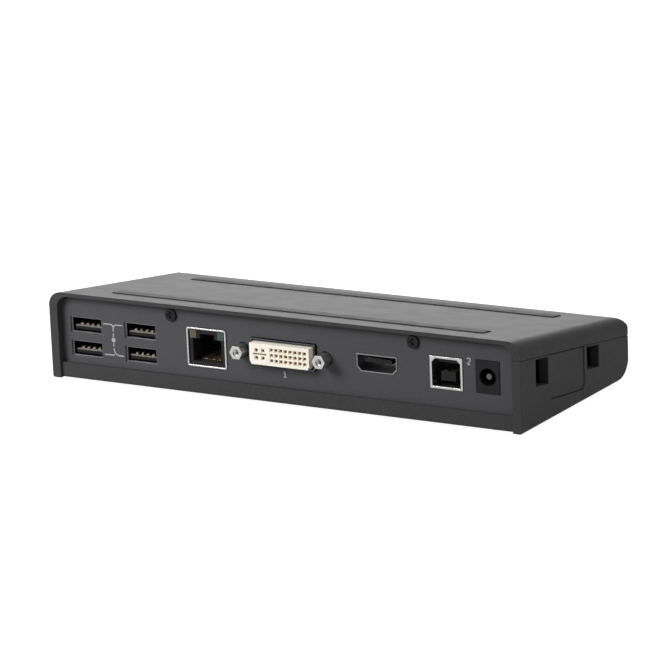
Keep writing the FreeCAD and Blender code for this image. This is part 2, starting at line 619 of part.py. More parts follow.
def strip_corners(y, drop_low, drop_high, gap):
    """Section of a strip or its groove, square to the sloping top."""
    rear, front = f"{y} + dims.strip_width / 2 - {gap}", f"{y} - dims.strip_width / 2 + {gap}"
    return [(rear, top_at(rear, drop_low)), (front, top_at(front, drop_low)),
            (front, top_at(front, drop_high)), (rear, top_at(rear, drop_high))]


def cut_strip_seats(body):
    """The two grooves in the top that hold the grip strips."""
    for name, y in strip_rows().items():
        seat = sketch_on(body, "YZ_Plane", f"{name}_seat")
        add_polygon(seat, strip_corners(y, "dims.strip_sink", "-1", "0"))
        pocket(body, seat, f"{name}_groove", "dims.strip_length + 2 * dims.fit_gap", symmetric=True)


def panel_screw_sides():
    return [f"({HALF_WIDTH} - dims.panel_screw_inset_left)",
            f"(-{HALF_WIDTH} + dims.panel_screw_inset_right)"]


def rear_panel():
    """The recessed plate that frames every rear socket."""
    body = new_body("panel")
    outline = sketch_on(body, "XZ_Plane", "panel_outline", f"-{PANEL_FACE}")
    side = f"({INNER_HALF} - dims.fit_gap)"
    top = top_at(PANEL_BACK, "dims.top_wall + dims.fit_gap")
    add_polygon(outline, [(f"-{side}", SILL_TOP), (side, SILL_TOP), (side, top), (f"-{side}", top)])
    pad(body, outline, "plate", "dims.panel_thickness")
    edge_x = value(side)
    edge_z = value(top)
    round_edges(body, "plate_corners", "dims.rim_radius",
                lambda e: along(e, y=1) and near(abs(e.CenterOfMass.x), edge_x)
                and near(e.CenterOfMass.z, edge_z))
    cutouts = sketch_on(body, "XZ_Plane", "cutouts", f"-{PANEL_FACE}")
    gap = "2 * dims.port_gap"
    for x in (USB_LEFT, USB_RIGHT):
        for z in (USB_LOWER, USB_UPPER):
            add_rectangle(cutouts, x, z, f"dims.usb_width + {gap}", f"dims.usb_height + {gap}")
    add_rectangle(cutouts, "dims.network_offset", f"({NETWORK_LOW} + dims.network_height / 2)",
                  f"dims.network_width + {gap}", f"dims.network_height + {gap}")
    add_polygon(cutouts, dvi_outline("dims.dvi_shell_gap + dims.dvi_shell_wall + 2 * dims.port_gap"))
    add_polygon(cutouts, hdmi_outline("dims.hdmi_wall + dims.port_gap"))
    add_rectangle(cutouts, USB_B_X, f"({USB_B_LOW} + dims.usb_b_rise / 2)",
                  f"dims.usb_b_width + {gap}", f"dims.usb_b_rise + {gap}")
    add_rectangle(cutouts, DC_X, DC_MID, f"dims.dc_width + {gap}", f"dims.dc_rise + {gap}")
    for sign in ("+", "-"):
        add_circle(cutouts, f"dims.dvi_offset {sign} dims.jackscrew_spacing / 2", DVI_MID,
                   "dims.jackscrew_flat + dims.port_gap")
    for x in panel_screw_sides():
        add_octagon(cutouts, x, PANEL_SCREW_MID, SCREW_HOLE)
    pocket(body, cutouts, "cutouts_cut", "2 * dims.panel_thickness + 1", symmetric=True)
    sinks = sketch_on(body, "XZ_Plane", "screw_sinks", f"-{PANEL_FACE}")
    for x in panel_screw_sides():
        add_circle(sinks, x, PANEL_SCREW_MID, "dims.panel_screw_head_radius + dims.panel_screw_margin")
    pocket(body, sinks, "screw_sinks_cut", "2 * dims.panel_screw_sink", symmetric=True)
    return keep("rear_panel", body)


def side_insert(word, sign):
    """A plain plate set into the side wall between the two latch holes."""
    body = new_body(f"insert_{word}")
    floor = f"({HALF_WIDTH} - dims.insert_recess)"
    outline = sketch_on(body, "YZ_Plane", f"insert_outline_{word}", f"{sign} * {floor}")
    add_polygon(outline, insert_corners("dims.insert_gap"))
    pad(body, outline, f"insert_plate_{word}", "dims.insert_thickness", reverse=sign < 0)
    round_insert_corner(body, f"insert_corner_{word}", "dims.insert_gap", "dims.insert_corner")
    return keep(f"side_insert_{word}", body)


def grip_strip(name, y):
    """A rubber strip in a groove of the sloping top."""
    body = new_body(f"{name}_body")
    outline = sketch_on(body, "YZ_Plane", f"{name}_outline")
    add_polygon(outline, strip_corners(y, "dims.strip_sink",
                                       "dims.strip_sink - dims.strip_thickness", "dims.fit_gap"))
    pad(body, outline, f"{name}_pad", "dims.strip_length", symmetric=True)
    return keep(name, body)


def rubber_foot(name, x, y):
    """A round foot with a bevelled tread, seated in its well."""
    foot = rod_up(f"{name}_disc", x, y, "0", "dims.foot_radius", f"{BASE} + dims.foot_sink")
    DOCUMENT.recompute()
    tread = DOCUMENT.addObject("Part::Chamfer", f"{name}_tread")
    tread.Base = foot
    bevel = DIMENSIONS["foot_bevel"]
    tread.Edges = [(index, bevel, bevel) for index, edge in enumerate(foot.Shape.Edges, start=1)
                   if near(edge.CenterOfMass.z, 0) and edge.Closed]
    return keep(name, tread)


# ---- main board and what stands on it ------------------------------------------------

def main_board():
    """The circuit board, with holes for its screws and for the case bosses."""
    body = new_body("board")
    outline = sketch_on(body, "XY_Plane", "board_outline", BOARD_LOW)
    side = f"({INNER_HALF} - dims.board_margin)"
    rear = f"({PANEL_BACK} - dims.board_rear_gap)"
    front = f"({FRONT} + dims.board_front_inset)"
    add_polygon(outline, [(f"-{side}", front), (side, front), (side, rear), (f"-{side}", rear)])
    for x, y in case_screw_places():
        add_octagon(outline, x, y, "dims.boss_radius + dims.boss_clearance")
    for x, y in board_screw_places():
        add_octagon(outline, x, y, SCREW_HOLE)
    pad(body, outline, "board_plate", "dims.board_thickness")
    return keep("main_board", body)


def display_chip():
    size = "dims.display_chip_size"
    chip = block("display_chip_block", "0", f"dims.display_chip_y - {size} / 2", BOARD_TOP,
                 size, size, "dims.display_chip_height")
    return keep("display_chip", chip)


def heat_sink():
    """A finned aluminium block on the display chip."""
    body = new_body("sink")
    size = "dims.heat_sink_size"
    low = f"({BOARD_TOP} + dims.display_chip_height)"
    outline = sketch_on(body, "XY_Plane", "sink_plan_view", low)
    add_rectangle(outline, "0", "dims.display_chip_y", size, size)
    pad(body, outline, "sink_base", "dims.heat_sink_base")
    fin_plan = sketch_on(body, "XY_Plane", "fin_plan", f"{low} + dims.heat_sink_base")
    add_rectangle(fin_plan, f"-({size} - dims.heat_sink_fin) / 2", "dims.display_chip_y",
                  "dims.heat_sink_fin", size)
    fin = pad(body, fin_plan, "fin", "dims.heat_sink_height - dims.heat_sink_base")
    fins = body.newObject("PartDesign::LinearPattern", "fins")
    fins.Originals = [fin]
    fins.Direction = (fin_plan, ["H_Axis"])
    fins.setExpression("Length", f"{size} - dims.heat_sink_fin")
    fins.setExpression("Occurrences", "dims.heat_sink_fin_count")
    body.Tip = fins
    DOCUMENT.recompute()
    return keep("heat_sink", body)


def hub_chip():
    size = "dims.hub_chip_size"
    chip = block("hub_chip_block", "dims.hub_chip_x", f"dims.hub_chip_y - {size} / 2", BOARD_TOP,
                 size, size, "dims.hub_chip_height")
    return keep("hub_chip", chip)


def network_transformer():
    body = block("transformer_block", "dims.network_offset",
                 "dims.transformer_y - dims.transformer_depth / 2", BOARD_TOP,
                 "dims.transformer_width", "dims.transformer_depth", "dims.transformer_height")
    return keep("network_transformer", body)


def capacitors():
    """Upright can capacitors beside the power input."""
    cans = [peg_up(f"capacitor_{index}", f"dims.capacitor_x + {index} * dims.capacitor_pitch",
                   "dims.capacitor_y", BOARD_TOP, "dims.capacitor_radius", "dims.capacitor_height",
                   sides=16)
            for index in range(int(DIMENSIONS["capacitor_count"]))]
    return keep("capacitors", group("capacitor_group", cans))


# ---- USB-A ---------------------------------------------------------------------------

def usb_cavity(name, x, z_mid, y_mouth, direction):
    """The room inside one USB-A mouth; direction is -1 for a mouth that faces +Y."""
    depth = "dims.usb_cavity_depth"
    start = f"{y_mouth} - {depth}" if direction < 0 else f"{y_mouth} - 1"
    return block(name, x, start, f"{z_mid} - dims.usb_height / 2 + dims.usb_wall",
                 "dims.usb_width - 2 * dims.usb_wall", f"{depth} + 1",
                 "dims.usb_height - 2 * dims.usb_wall")


def usb_stack(word, x):
    """Two USB-A sockets one above the other in one metal shell."""
    mouth = f"({PANEL_FACE} - dims.usb_setback)"
    back = f"({SOCKET_FRONT} - dims.usb_depth)"
    top = f"({USB_UPPER} + dims.usb_stack_crown)"
    shell = block(f"stack_{word}_can", x, back, BOARD_TOP, "dims.usb_stack_width",
                  "dims.usb_depth", f"{top} - {BOARD_TOP}")
    noses, cavities = [], []
    for level, z in (("lower", USB_LOWER), ("upper", USB_UPPER)):
        noses.append(block(f"stack_{word}_{level}_nose", x, f"{SOCKET_FRONT} - 0.5",
                           f"{z} - dims.usb_height / 2", "dims.usb_width",
                           f"{mouth} - {SOCKET_FRONT} + 0.5", "dims.usb_height"))
        cavities.append(usb_cavity(f"stack_{word}_{level}_room", x, z, mouth, -1))
    inner = block(f"stack_{word}_inner", x, f"{back} - 1", f"{BOARD_TOP} - 1",
                  "dims.usb_stack_width - 2 * dims.usb_wall",
                  f"{mouth} - dims.usb_cavity_depth - {back} + 1",
                  f"{top} - {BOARD_TOP} + 1 - dims.usb_wall")
    whole = fuse(f"stack_{word}_whole", [shell] + noses)
    keep(f"usb_stack_{word}_shell", cut(f"stack_{word}_shell", whole, cavities + [inner]))
    usb_stack_insulator(word, x, mouth, back, top)
    contacts = []
    for level, z in (("lower", USB_LOWER), ("upper", USB_UPPER)):
        contacts += usb_contacts(f"stack_{word}_{level}", x, z, mouth)
    keep(f"usb_stack_{word}_contacts", group(f"stack_{word}_contacts", contacts))


def usb_stack_insulator(word, x, mouth, back, top):
    """The black block at the back of a stack, with one tongue for each socket."""
    rear_end = f"({mouth} - dims.usb_cavity_depth)"
    gap = "dims.fit_gap / 2"
    core = block(f"stack_{word}_core", x, back, BOARD_TOP,
                 f"dims.usb_stack_width - 2 * dims.usb_wall - {gap}",
                 f"{rear_end} - {back}", f"{top} - {BOARD_TOP} - dims.usb_wall - {gap}")
    tongues = [usb_tongue(f"stack_{word}_{level}_tongue", x, z, mouth, -1)
               for level, z in (("lower", USB_LOWER), ("upper", USB_UPPER))]
    keep(f"usb_stack_{word}_insulator", fuse(f"stack_{word}_insulator", [core] + tongues))


def usb_tongue(name, x, z_mid, y_mouth, direction):
    """The tongue in the upper half of a mouth."""
    length = "dims.usb_cavity_depth - dims.usb_tongue_setback"
    if direction < 0:
        start = f"{y_mouth} - dims.usb_cavity_depth"
    else:
        start = f"{y_mouth} + dims.usb_tongue_setback"
    return block(name, x, start, f"{z_mid} + 0.35", "dims.usb_tongue_width", length,
                 "dims.usb_tongue_height")


def usb_contacts(name, x, z_mid, y_mouth):
    """Four contact springs under a tongue, each with a raised bump near the mouth."""
    length = "(dims.usb_cavity_depth - dims.usb_tongue_setback - 1.5)"
    end = f"({y_mouth} - dims.usb_tongue_setback - 0.4)"
    under = f"({z_mid} + 0.35 - dims.usb_contact_thickness)"
    springs = []
    for index in range(4):
        at = f"{x} + {index - 1.5} * dims.usb_contact_pitch"
        strip = block(f"{name}_strip_{index}", at, f"{end} - {length}", under,
                      "dims.usb_contact_width", length, "dims.usb_contact_thickness")
        bump = block(f"{name}_bump_{index}", at, f"{end} - 0.3 - dims.usb_bump_length",
                     f"{under} - dims.usb_bump_drop", "dims.usb_contact_width",
                     "dims.usb_bump_length", "dims.usb_bump_drop")
        springs.append(fuse(f"{name}_spring_{index}", [strip, bump]))
    return springs


def front_usb(word, x):
    """A single USB-A socket behind the front fascia."""
    mouth = FASCIA_FACE
    shell = block(f"front_usb_{word}_can", x, mouth, BOARD_TOP, "dims.usb_width",
                  "dims.front_usb_depth", "dims.usb_height")
    room = usb_cavity(f"front_usb_{word}_room", x, FRONT_USB_MID, mouth, 1)
    back = block(f"front_usb_{word}_back", x, f"{mouth} + dims.usb_cavity_depth - 0.5",
                 f"{BOARD_TOP} - 1", "dims.usb_width - 2 * dims.usb_wall",
                 "dims.front_usb_depth", "dims.usb_height + 1 - dims.usb_wall")
    keep(f"front_usb_{word}_shell", cut(f"front_usb_{word}_metal", shell, [room, back]))
    gap = "dims.fit_gap / 2"
    start = f"({mouth} + dims.usb_cavity_depth)"
    core = block(f"front_usb_{word}_core", x, start, BOARD_TOP,
                 f"dims.usb_width - 2 * dims.usb_wall - {gap}",
                 "dims.front_usb_depth - dims.usb_cavity_depth",
                 f"dims.usb_height - dims.usb_wall - {gap}")
    tongue = usb_tongue(f"front_usb_{word}_tongue", x, FRONT_USB_MID, mouth, 1)
    keep(f"front_usb_{word}_insulator", fuse(f"front_usb_{word}_plastic", [core, tongue]))


# ---- network socket ------------------------------------------------------------------

def network_socket():
    """The RJ45 jack: metal shield, plastic body, eight sprung contacts and two windows."""
    x = "dims.network_offset"
    mouth = f"({PANEL_FACE} + dims.port_proud)"
    back = f"({SOCKET_FRONT} - dims.network_depth)"
    wall = "dims.network_shield_wall"
    can = block("network_can", x, back, BOARD_TOP, "dims.network_width", "dims.network_depth",
                f"{NETWORK_TOP} - {BOARD_TOP}")
    nose = block("network_nose", x, f"{SOCKET_FRONT} - 1", NETWORK_LOW, "dims.network_width",
                 f"{mouth} - {SOCKET_FRONT} + 1", "dims.network_height")
    room = block("network_room", x, f"{back} + {wall}", f"{BOARD_TOP} - 1",
                 f"dims.network_width - 2 * {wall}",
                 f"dims.network_depth - {wall} - 0.6", f"{NETWORK_TOP} - {BOARD_TOP} + 1 - {wall}")
    throat = block("network_throat", x, f"{SOCKET_FRONT} - 1.6", f"{NETWORK_LOW} + {wall}",
                   f"dims.network_width - 2 * {wall}", f"{mouth} - {SOCKET_FRONT} + 3",
                   f"dims.network_height - 2 * {wall}")
    keep("network_shield", cut("network_shield_metal", fuse("network_metal", [can, nose]),
                               [room, throat]))
    gap = "dims.fit_gap / 2"
    width = f"(dims.network_width - 2 * {wall} - 2 * {gap})"
    core = block("network_core", x, f"{back} + {wall} + {gap}", BOARD_TOP, width,
                 f"{SOCKET_FRONT} - 0.7 - {back} - {wall} - {gap}",
                 f"{NETWORK_TOP} - {wall} - {gap} - {BOARD_TOP}")
    face = block("network_face", x, f"{SOCKET_FRONT} - 1", f"{NETWORK_LOW} + {wall} + {gap}",
                 width, f"{mouth} - 0.4 - {SOCKET_FRONT} + 1",
                 f"dims.network_height - 2 * {wall} - 2 * {gap}")
    bore_low = f"({NETWORK_TOP} - dims.network_bore_drop - dims.network_bore_height)"
    bore_start = f"({mouth} - dims.network_bore_depth)"
    bore = block("network_bore", x, bore_start, bore_low, "dims.network_bore_width",
                 "dims.network_bore_depth + 1", "dims.network_bore_height")
    latch = block("network_latch", x, bore_start, f"{bore_low} + dims.network_bore_height - 1",
                  "dims.network_latch_width", "dims.network_bore_depth + 1",
                  "dims.network_latch_height + 1")
    seats, lamps = network_windows(x, mouth)
    keep("network_body", cut("network_plastic", fuse("network_block", [core, face]),
                             [bore, latch] + seats))
    keep("network_windows", group("network_window_pair", lamps))
    keep("network_contacts", group("network_contact_row", network_contacts(x, mouth, bore_low)))


def network_windows(x, mouth):
    """Two small lamp windows in the top corners of the face, with their seats."""
    seats, lamps = [], []
    low = f"({NETWORK_TOP} - dims.network_shield_wall - dims.network_window_height - 0.4)"
    offset = ("(dims.network_width / 2 - dims.network_shield_wall - 0.5"
              " - dims.network_window_width / 2)")
    for word, sign in (("left", "+"), ("right", "-")):
        centre = f"{x} {sign} {offset}"
        seats.append(block(f"window_seat_{word}", centre, f"{mouth} - 2.4", low,
                           "dims.network_window_width", "4", "dims.network_window_height"))
        lamps.append(block(f"window_{word}", centre, f"{mouth} - 2.4", f"{low} + 0.05",
                           "dims.network_window_width - 0.1", "2.1",
                           "dims.network_window_height - 0.1"))
    return seats, lamps


def network_contacts(x, mouth, bore_low):
    """Eight sprung wires that rise from the floor of the bore towards its back."""
    wires = []
    for index in range(8):
        wire = block(f"network_wire_{index}", "0", "0", "0",
                     "dims.network_contact_width", "9", "0.3")
        wire.Placement = FreeCAD.Placement(
            FreeCAD.Vector(), FreeCAD.Rotation(FreeCAD.Vector(1, 0, 0), -14))
        locate(wire, f"{x} + {index - 3.5} * dims.network_contact_pitch"
                     " - dims.network_contact_width / 2",
               f"{mouth} - 11.5", f"{bore_low} + dims.network_contact_rise")
        wires.append(wire)
    return wires


# ---- DVI-I ---------------------------------------------------------------------------

def dvi_outline(grow):
    """The D outline of the insert, grown by a margin: both lower corners are cut off."""
    x, z = "dims.dvi_offset", DVI_MID
    half = f"(dims.dvi_insert_width / 2 + {grow})"
    rise = f"(dims.dvi_insert_height / 2 + {grow})"
    corner = "dims.dvi_corner"
    return [(f"{x} - {half} + {corner} * 0.5", f"{z} - {rise}"),
            (f"{x} + {half} - {corner} * 0.5", f"{z} - {rise}"),
            (f"{x} + {half}", f"{z} - {rise} + {corner}"), (f"{x} + {half}", f"{z} + {rise}"),
            (f"{x} - {half}", f"{z} + {rise}"), (f"{x} - {half}", f"{z} - {rise} + {corner}")]


def dvi_shell():
    """The plated flange and the sleeve that stands round the insert."""
    body = new_body("dvi_metal")
    flange = sketch_on(body, "XZ_Plane", "dvi_flange_outline", f"-{SOCKET_FRONT}")
    add_rectangle(flange, "dims.dvi_offset", DVI_MID, "dims.dvi_flange_width",
                  "dims.dvi_flange_height")
    pad(body, flange, "dvi_flange", "dims.dvi_flange_thickness")
    sleeve = sketch_on(body, "XZ_Plane", "dvi_sleeve_outline", f"-{SOCKET_FRONT}")
    add_polygon(sleeve, dvi_outline("dims.dvi_shell_gap + dims.dvi_shell_wall"))
    pad(body, sleeve, "dvi_sleeve",
        f"{PANEL_FACE} + dims.dvi_shell_reach - {SOCKET_FRONT}", reverse=True)
    bore = sketch_on(body, "XZ_Plane", "dvi_sleeve_bore", f"-{SOCKET_FRONT}")
    add_polygon(bore, dvi_outline("dims.dvi_shell_gap"))
    pocket(body, bore, "dvi_sleeve_room", "40", symmetric=True)
    holes = sketch_on(body, "XZ_Plane", "jackscrew_holes", f"-{SOCKET_FRONT}")
    for sign in ("+", "-"):
        add_circle(holes, f"dims.dvi_offset {sign} dims.jackscrew_spacing / 2", DVI_MID, "1.6")
    pocket(body, holes, "jackscrew_holes_cut", "10", symmetric=True)
    return keep("dvi_shell", body)


def dvi_housing():
    """The block behind the flange that carries the insert and stands on the board."""
    start = f"({SOCKET_FRONT} - dims.dvi_flange_thickness - dims.dvi_housing_depth)"
    housing = block("dvi_block", "dims.dvi_offset", start, BOARD_TOP, "dims.dvi_housing_width",
                    "dims.dvi_housing_depth", f"{DVI_MID} + 5 - {BOARD_TOP}")
    holes = [rod_back(f"dvi_tail_hole_{word}", f"dims.dvi_offset {sign} dims.jackscrew_spacing / 2",
                      f"{start} - 1", DVI_MID, "1.6", "dims.dvi_housing_depth + 2")
             for word, sign in (("left", "+"), ("right", "-"))]
    return keep("dvi_housing", cut("dvi_housing_cut", housing, holes))


def dvi_sockets():
    """Centres of the 24 signal sockets and the four beside the blade, as (x, z)."""
    places = [(f"(dims.dvi_offset + dims.dvi_first_column + {column} * dims.dvi_pin_pitch)",
               f"({DVI_MID} + {row} * dims.dvi_pin_pitch)")
              for column in range(8) for row in (-1, 0, 1)]
    blade = "(dims.dvi_offset + dims.dvi_blade_offset)"
    for sign_x in "+-":
        for sign_z in "+-":
            places.append((f"({blade} {sign_x} dims.dvi_blade_pin_side)",
                           f"({DVI_MID} {sign_z} dims.dvi_blade_pin_rise)"))
    return places


def dvi_insert():
    """The ivory insert with its grid of square sockets and the crossed blade slot."""
    body = new_body("dvi_plastic")
    back = f"({SOCKET_FRONT} - dims.dvi_flange_thickness)"
    face = f"({PANEL_FACE} + dims.dvi_insert_reach)"
    outline = sketch_on(body, "XZ_Plane", "dvi_insert_outline", f"-{back}")
    add_polygon(outline, dvi_outline("0"))
    pad(body, outline, "dvi_insert_block", f"{face} - {back}", reverse=True)
    sockets = sketch_on(body, "XZ_Plane", "dvi_socket_plan", f"-{face}")
    width = "dims.dvi_socket_width"
    for x, z in dvi_sockets():
        add_rectangle(sockets, x, z, width, width)
    pocket(body, sockets, "dvi_sockets", "2 * (dims.dvi_contact_sink + dims.dvi_contact_depth)",
           symmetric=True)
    blade = "(dims.dvi_offset + dims.dvi_blade_offset)"
    slots = sketch_on(body, "XZ_Plane", "dvi_blade_plan", f"-{face}")
    add_rectangle(slots, blade, DVI_MID, "dims.dvi_blade_span", "dims.dvi_blade_slot")
    pocket(body, slots, "dvi_blade_slot", "8", symmetric=True)
    return keep("dvi_insert", body)


def dvi_contacts():
    """Gold square sleeves, one in each socket."""
    width = "(dims.dvi_socket_width - 0.04)"
    start = f"({PANEL_FACE} + dims.dvi_insert_reach - dims.dvi_contact_sink - dims.dvi_contact_depth)"
    sleeves, bores = [], []
    for index, (x, z) in enumerate(dvi_sockets()):
        sleeves.append(block(f"dvi_sleeve_{index}", x, start, f"{z} - {width} / 2", width,
                             "dims.dvi_contact_depth", width))
        inner = f"({width} - 2 * dims.dvi_contact_wall)"
        bores.append(block(f"dvi_bore_{index}", x, f"{start} + 0.6", f"{z} - {inner} / 2", inner,
                           "dims.dvi_contact_depth", inner))
    return keep("dvi_contacts", cut("dvi_contact_sleeves", group("dvi_sleeves", sleeves), bores))


def dvi_jackscrews():
    """Two hexagonal jackscrews with threaded bores for the plug's thumbscrews."""
    screws = []
    for word, sign in (("left", "+"), ("right", "-")):
        x = f"(dims.dvi_offset {sign} dims.jackscrew_spacing / 2)"
        nut = DOCUMENT.addObject("Part::Prism", f"jackscrew_{word}_hex")
        nut.Polygon = 6
        nut.setExpression("Circumradius", "dims.jackscrew_flat")
        nut.setExpression("Height", f"{PANEL_FACE} + dims.jackscrew_reach - {SOCKET_FRONT}")
        nut.Placement = FreeCAD.Placement(
            FreeCAD.Vector(), FreeCAD.Rotation(FreeCAD.Vector(1, 0, 0), -90))
        locate(nut, x, SOCKET_FRONT, DVI_MID)
        tail = rod_back(f"jackscrew_{word}_tail", x, f"{SOCKET_FRONT} - dims.jackscrew_tail",
                        DVI_MID, "dims.screw_radius", "dims.jackscrew_tail + 0.5")
        bore = rod_back(f"jackscrew_{word}_bore", x,
                        f"{PANEL_FACE} + dims.jackscrew_reach - dims.jackscrew_bore_depth",
                        DVI_MID, "dims.jackscrew_bore", "dims.jackscrew_bore_depth + 1")
        screws.append(cut(f"jackscrew_{word}", fuse(f"jackscrew_{word}_solid", [nut, tail]), [bore]))
    return keep("dvi_jackscrews", group("jackscrew_pair", screws))


# ---- HDMI ----------------------------------------------------------------------------

def hdmi_outline(grow):
    """The HDMI mouth: wide above, with both lower corners cut back, grown by a margin."""
    x, z = HDMI_X, HDMI_MID
    half = f"(dims.hdmi_width / 2 + {grow})"
    rise = f"(dims.hdmi_rise / 2 + {grow})"
    taper = "dims.hdmi_taper"
    return [(f"{x} - {half} + {taper}", f"{z} - {rise}"), (f"{x} + {half} - {taper}", f"{z} - {rise}"),
            (f"{x} + {half}", f"{z} - {rise} + {taper}"), (f"{x} + {half}", f"{z} + {rise}"),
            (f"{x} - {half}", f"{z} + {rise}"), (f"{x} - {half}", f"{z} - {rise} + {taper}")]


def hdmi_socket():
    """The HDMI shell, its tongue and the block under it that reaches the board."""
    mouth = f"({PANEL_FACE} + dims.port_proud)"
    back = f"({SOCKET_FRONT} - dims.hdmi_depth)"
    body = new_body("hdmi_metal")
    outline = sketch_on(body, "XZ_Plane", "hdmi_shell_outline", f"-{mouth}")
    add_polygon(outline, hdmi_outline("dims.hdmi_wall"))
    pad(body, outline, "hdmi_sleeve", f"{mouth} - {back}")
    room = sketch_on(body, "XZ_Plane", "hdmi_room_outline", f"-{mouth}")
    add_polygon(room, hdmi_outline("0"))
    pocket(body, room, "hdmi_room", "dims.hdmi_cavity_depth", reverse=True)
    keep("hdmi_shell", body)
    low = f"({HDMI_MID} - dims.hdmi_rise / 2 - dims.hdmi_wall)"
    riser = block("hdmi_riser_block", HDMI_X, back, BOARD_TOP, "dims.hdmi_width - 2",
                  "dims.hdmi_depth - 1", f"{low} - {BOARD_TOP}")
    keep("hdmi_riser", riser)
    tongue = block("hdmi_tongue_block", HDMI_X, f"{mouth} - dims.hdmi_cavity_depth", f"{HDMI_MID} + 0.1",
                   "dims.hdmi_tongue_width", "dims.hdmi_cavity_depth - 1.2",
                   "dims.hdmi_tongue_height")
    keep("hdmi_tongue", tongue)


# ---- USB type B ----------------------------------------------------------------------

def usb_b_socket():
    """The host socket: a nearly square shell with a stepped tongue."""
    mouth = f"({PANEL_FACE} + dims.port_proud)"
    back = f"({SOCKET_FRONT} - dims.usb_b_depth)"
    wall = "dims.usb_b_wall"
    can = block("usb_b_can", USB_B_X, back, USB_B_LOW, "dims.usb_b_width", f"{mouth} - {back}",
                "dims.usb_b_rise")
    room = block("usb_b_room", USB_B_X, f"{mouth} - dims.usb_b_cavity_depth", f"{USB_B_LOW} + {wall}",
                 f"dims.usb_b_width - 2 * {wall}", "dims.usb_b_cavity_depth + 1",
                 f"dims.usb_b_rise - 2 * {wall}")
    keep("usb_b_shell", cut("usb_b_metal", can, [room]))
    riser = block("usb_b_riser_block", USB_B_X, back, BOARD_TOP, "dims.usb_b_width - 1",
                  "dims.usb_b_depth - 1", f"{USB_B_LOW} - {BOARD_TOP}")
    keep("usb_b_riser", riser)
    length = "(dims.usb_b_cavity_depth - 1.6)"
    start = f"{mouth} - dims.usb_b_cavity_depth"
    lower = block("usb_b_tongue_lower", USB_B_X, start, f"{USB_B_LOW} + {wall} + 2.2",
                  "dims.usb_b_tongue_width", length, "dims.usb_b_tongue_height")
    upper = block("usb_b_tongue_upper", USB_B_X, start,
                  f"{USB_B_LOW} + dims.usb_b_rise - {wall} - dims.usb_b_step_height - 0.6",
                  "dims.usb_b_step_width", length, "dims.usb_b_step_height")
    plate = block("usb_b_plate", USB_B_X, start, f"{USB_B_LOW} + {wall} + 0.05",
                  f"dims.usb_b_width - 2 * {wall} - 0.1", "1", f"dims.usb_b_rise - 2 * {wall} - 0.1")
    keep("usb_b_insulator", fuse("usb_b_plastic", [lower, upper, plate]))


# ---- DC power socket -----------------------------------------------------------------

def dc_socket():
    """The barrel socket: a square-faced body with a round bore and a centre pin."""
    mouth = f"({PANEL_FACE} + dims.port_proud)"
    back = f"({SOCKET_FRONT} - dims.dc_depth)"
    low = f"({DC_MID} - dims.dc_rise / 2)"
    face = block("dc_face", DC_X, back, low, "dims.dc_width", f"{mouth} - {back}", "dims.dc_rise")
    foot = block("dc_foot", DC_X, back, BOARD_TOP, "dims.dc_width", "dims.dc_depth",
                 f"{low} - {BOARD_TOP} + 0.5")
    bore = rod_back("dc_bore", DC_X, f"{mouth} - dims.dc_bore_depth", DC_MID, "dims.dc_bore",
                    "dims.dc_bore_depth + 1")
    keep("dc_jack_body", cut("dc_plastic", fuse("dc_block", [face, foot]), [bore]))
    pin = rod_back("dc_pin", DC_X, f"{mouth} - dims.dc_bore_depth", DC_MID, "dims.dc_pin_radius",
                   "dims.dc_pin_length")
    keep("dc_jack_pin", pin)


# ---- front fascia --------------------------------------------------------------------

def fascia_holes(sketch):
    """The openings of the fascia: two USB, two audio, button and light."""
    gap = "2 * dims.port_gap"
    for x in ("dims.front_usb_left", "dims.front_usb_right"):
        add_rectangle(sketch, x, FRONT_USB_MID, f"dims.usb_width + {gap}", f"dims.usb_height + {gap}")
    for x in ("dims.headphone_offset", "dims.microphone_offset"):
        add_circle(sketch, x, AUDIO_MID, "dims.audio_barrel + dims.port_gap")
    add_circle(sketch, "dims.button_offset", BUTTON_MID, "dims.button_radius + dims.button_gap")
    add_circle(sketch, "dims.light_offset", BUTTON_MID, "dims.light_radius + dims.port_gap")


def front_fascia():
    """The strip set into the nose, with a flange that bears on the inside of the wall."""
    body = new_body("fascia")
    middle = f"({FASCIA_LOW} + dims.fascia_rise / 2)"
    gap = "2 * dims.fit_gap"
    face = sketch_on(body, "XZ_Plane", "fascia_outline", f"-{FASCIA_FACE}")
    add_rectangle(face, "0", middle, f"2 * dims.fascia_half_width - {gap}", f"dims.fascia_rise - {gap}")
    pad(body, face, "fascia_plate", f"{FASCIA_BACK} - {FASCIA_FACE}", reverse=True)
    flange = sketch_on(body, "XZ_Plane", "fascia_flange_outline", f"-{FASCIA_BACK}")
    grow = "2 * dims.fascia_flange"
    add_rectangle(flange, "0", middle, f"2 * dims.fascia_half_width + {grow}", f"dims.fascia_rise + {grow}")
    pad(body, flange, "fascia_flange_plate", "dims.fascia_flange_thickness")
    holes = sketch_on(body, "XZ_Plane", "fascia_hole_plan", f"-{FASCIA_FACE}")
    fascia_holes(holes)
    pocket(body, holes, "fascia_holes_cut", "30", symmetric=True)
    return keep("front_fascia", body)


def audio_jack(name, x):
    """A 3.5 mm audio socket: barrel in the fascia and square body on the board."""
    barrel = rod_back(f"{name}_barrel", x, FASCIA_FACE, AUDIO_MID, "dims.audio_barrel",
                      f"{FASCIA_BACK} - {FASCIA_FACE} + 1")
    body = block(f"{name}_block", x, f"{FASCIA_BACK} + dims.fit_gap", BOARD_TOP,
                 "dims.audio_width", "dims.audio_depth", "dims.audio_rise")
    bore = rod_back(f"{name}_bore", x, f"{FASCIA_FACE} - 1", AUDIO_MID, "dims.audio_bore",
                    "dims.audio_bore_length + 1")
    return keep(name, cut(f"{name}_cut", fuse(f"{name}_solid", [barrel, body]), [bore]))


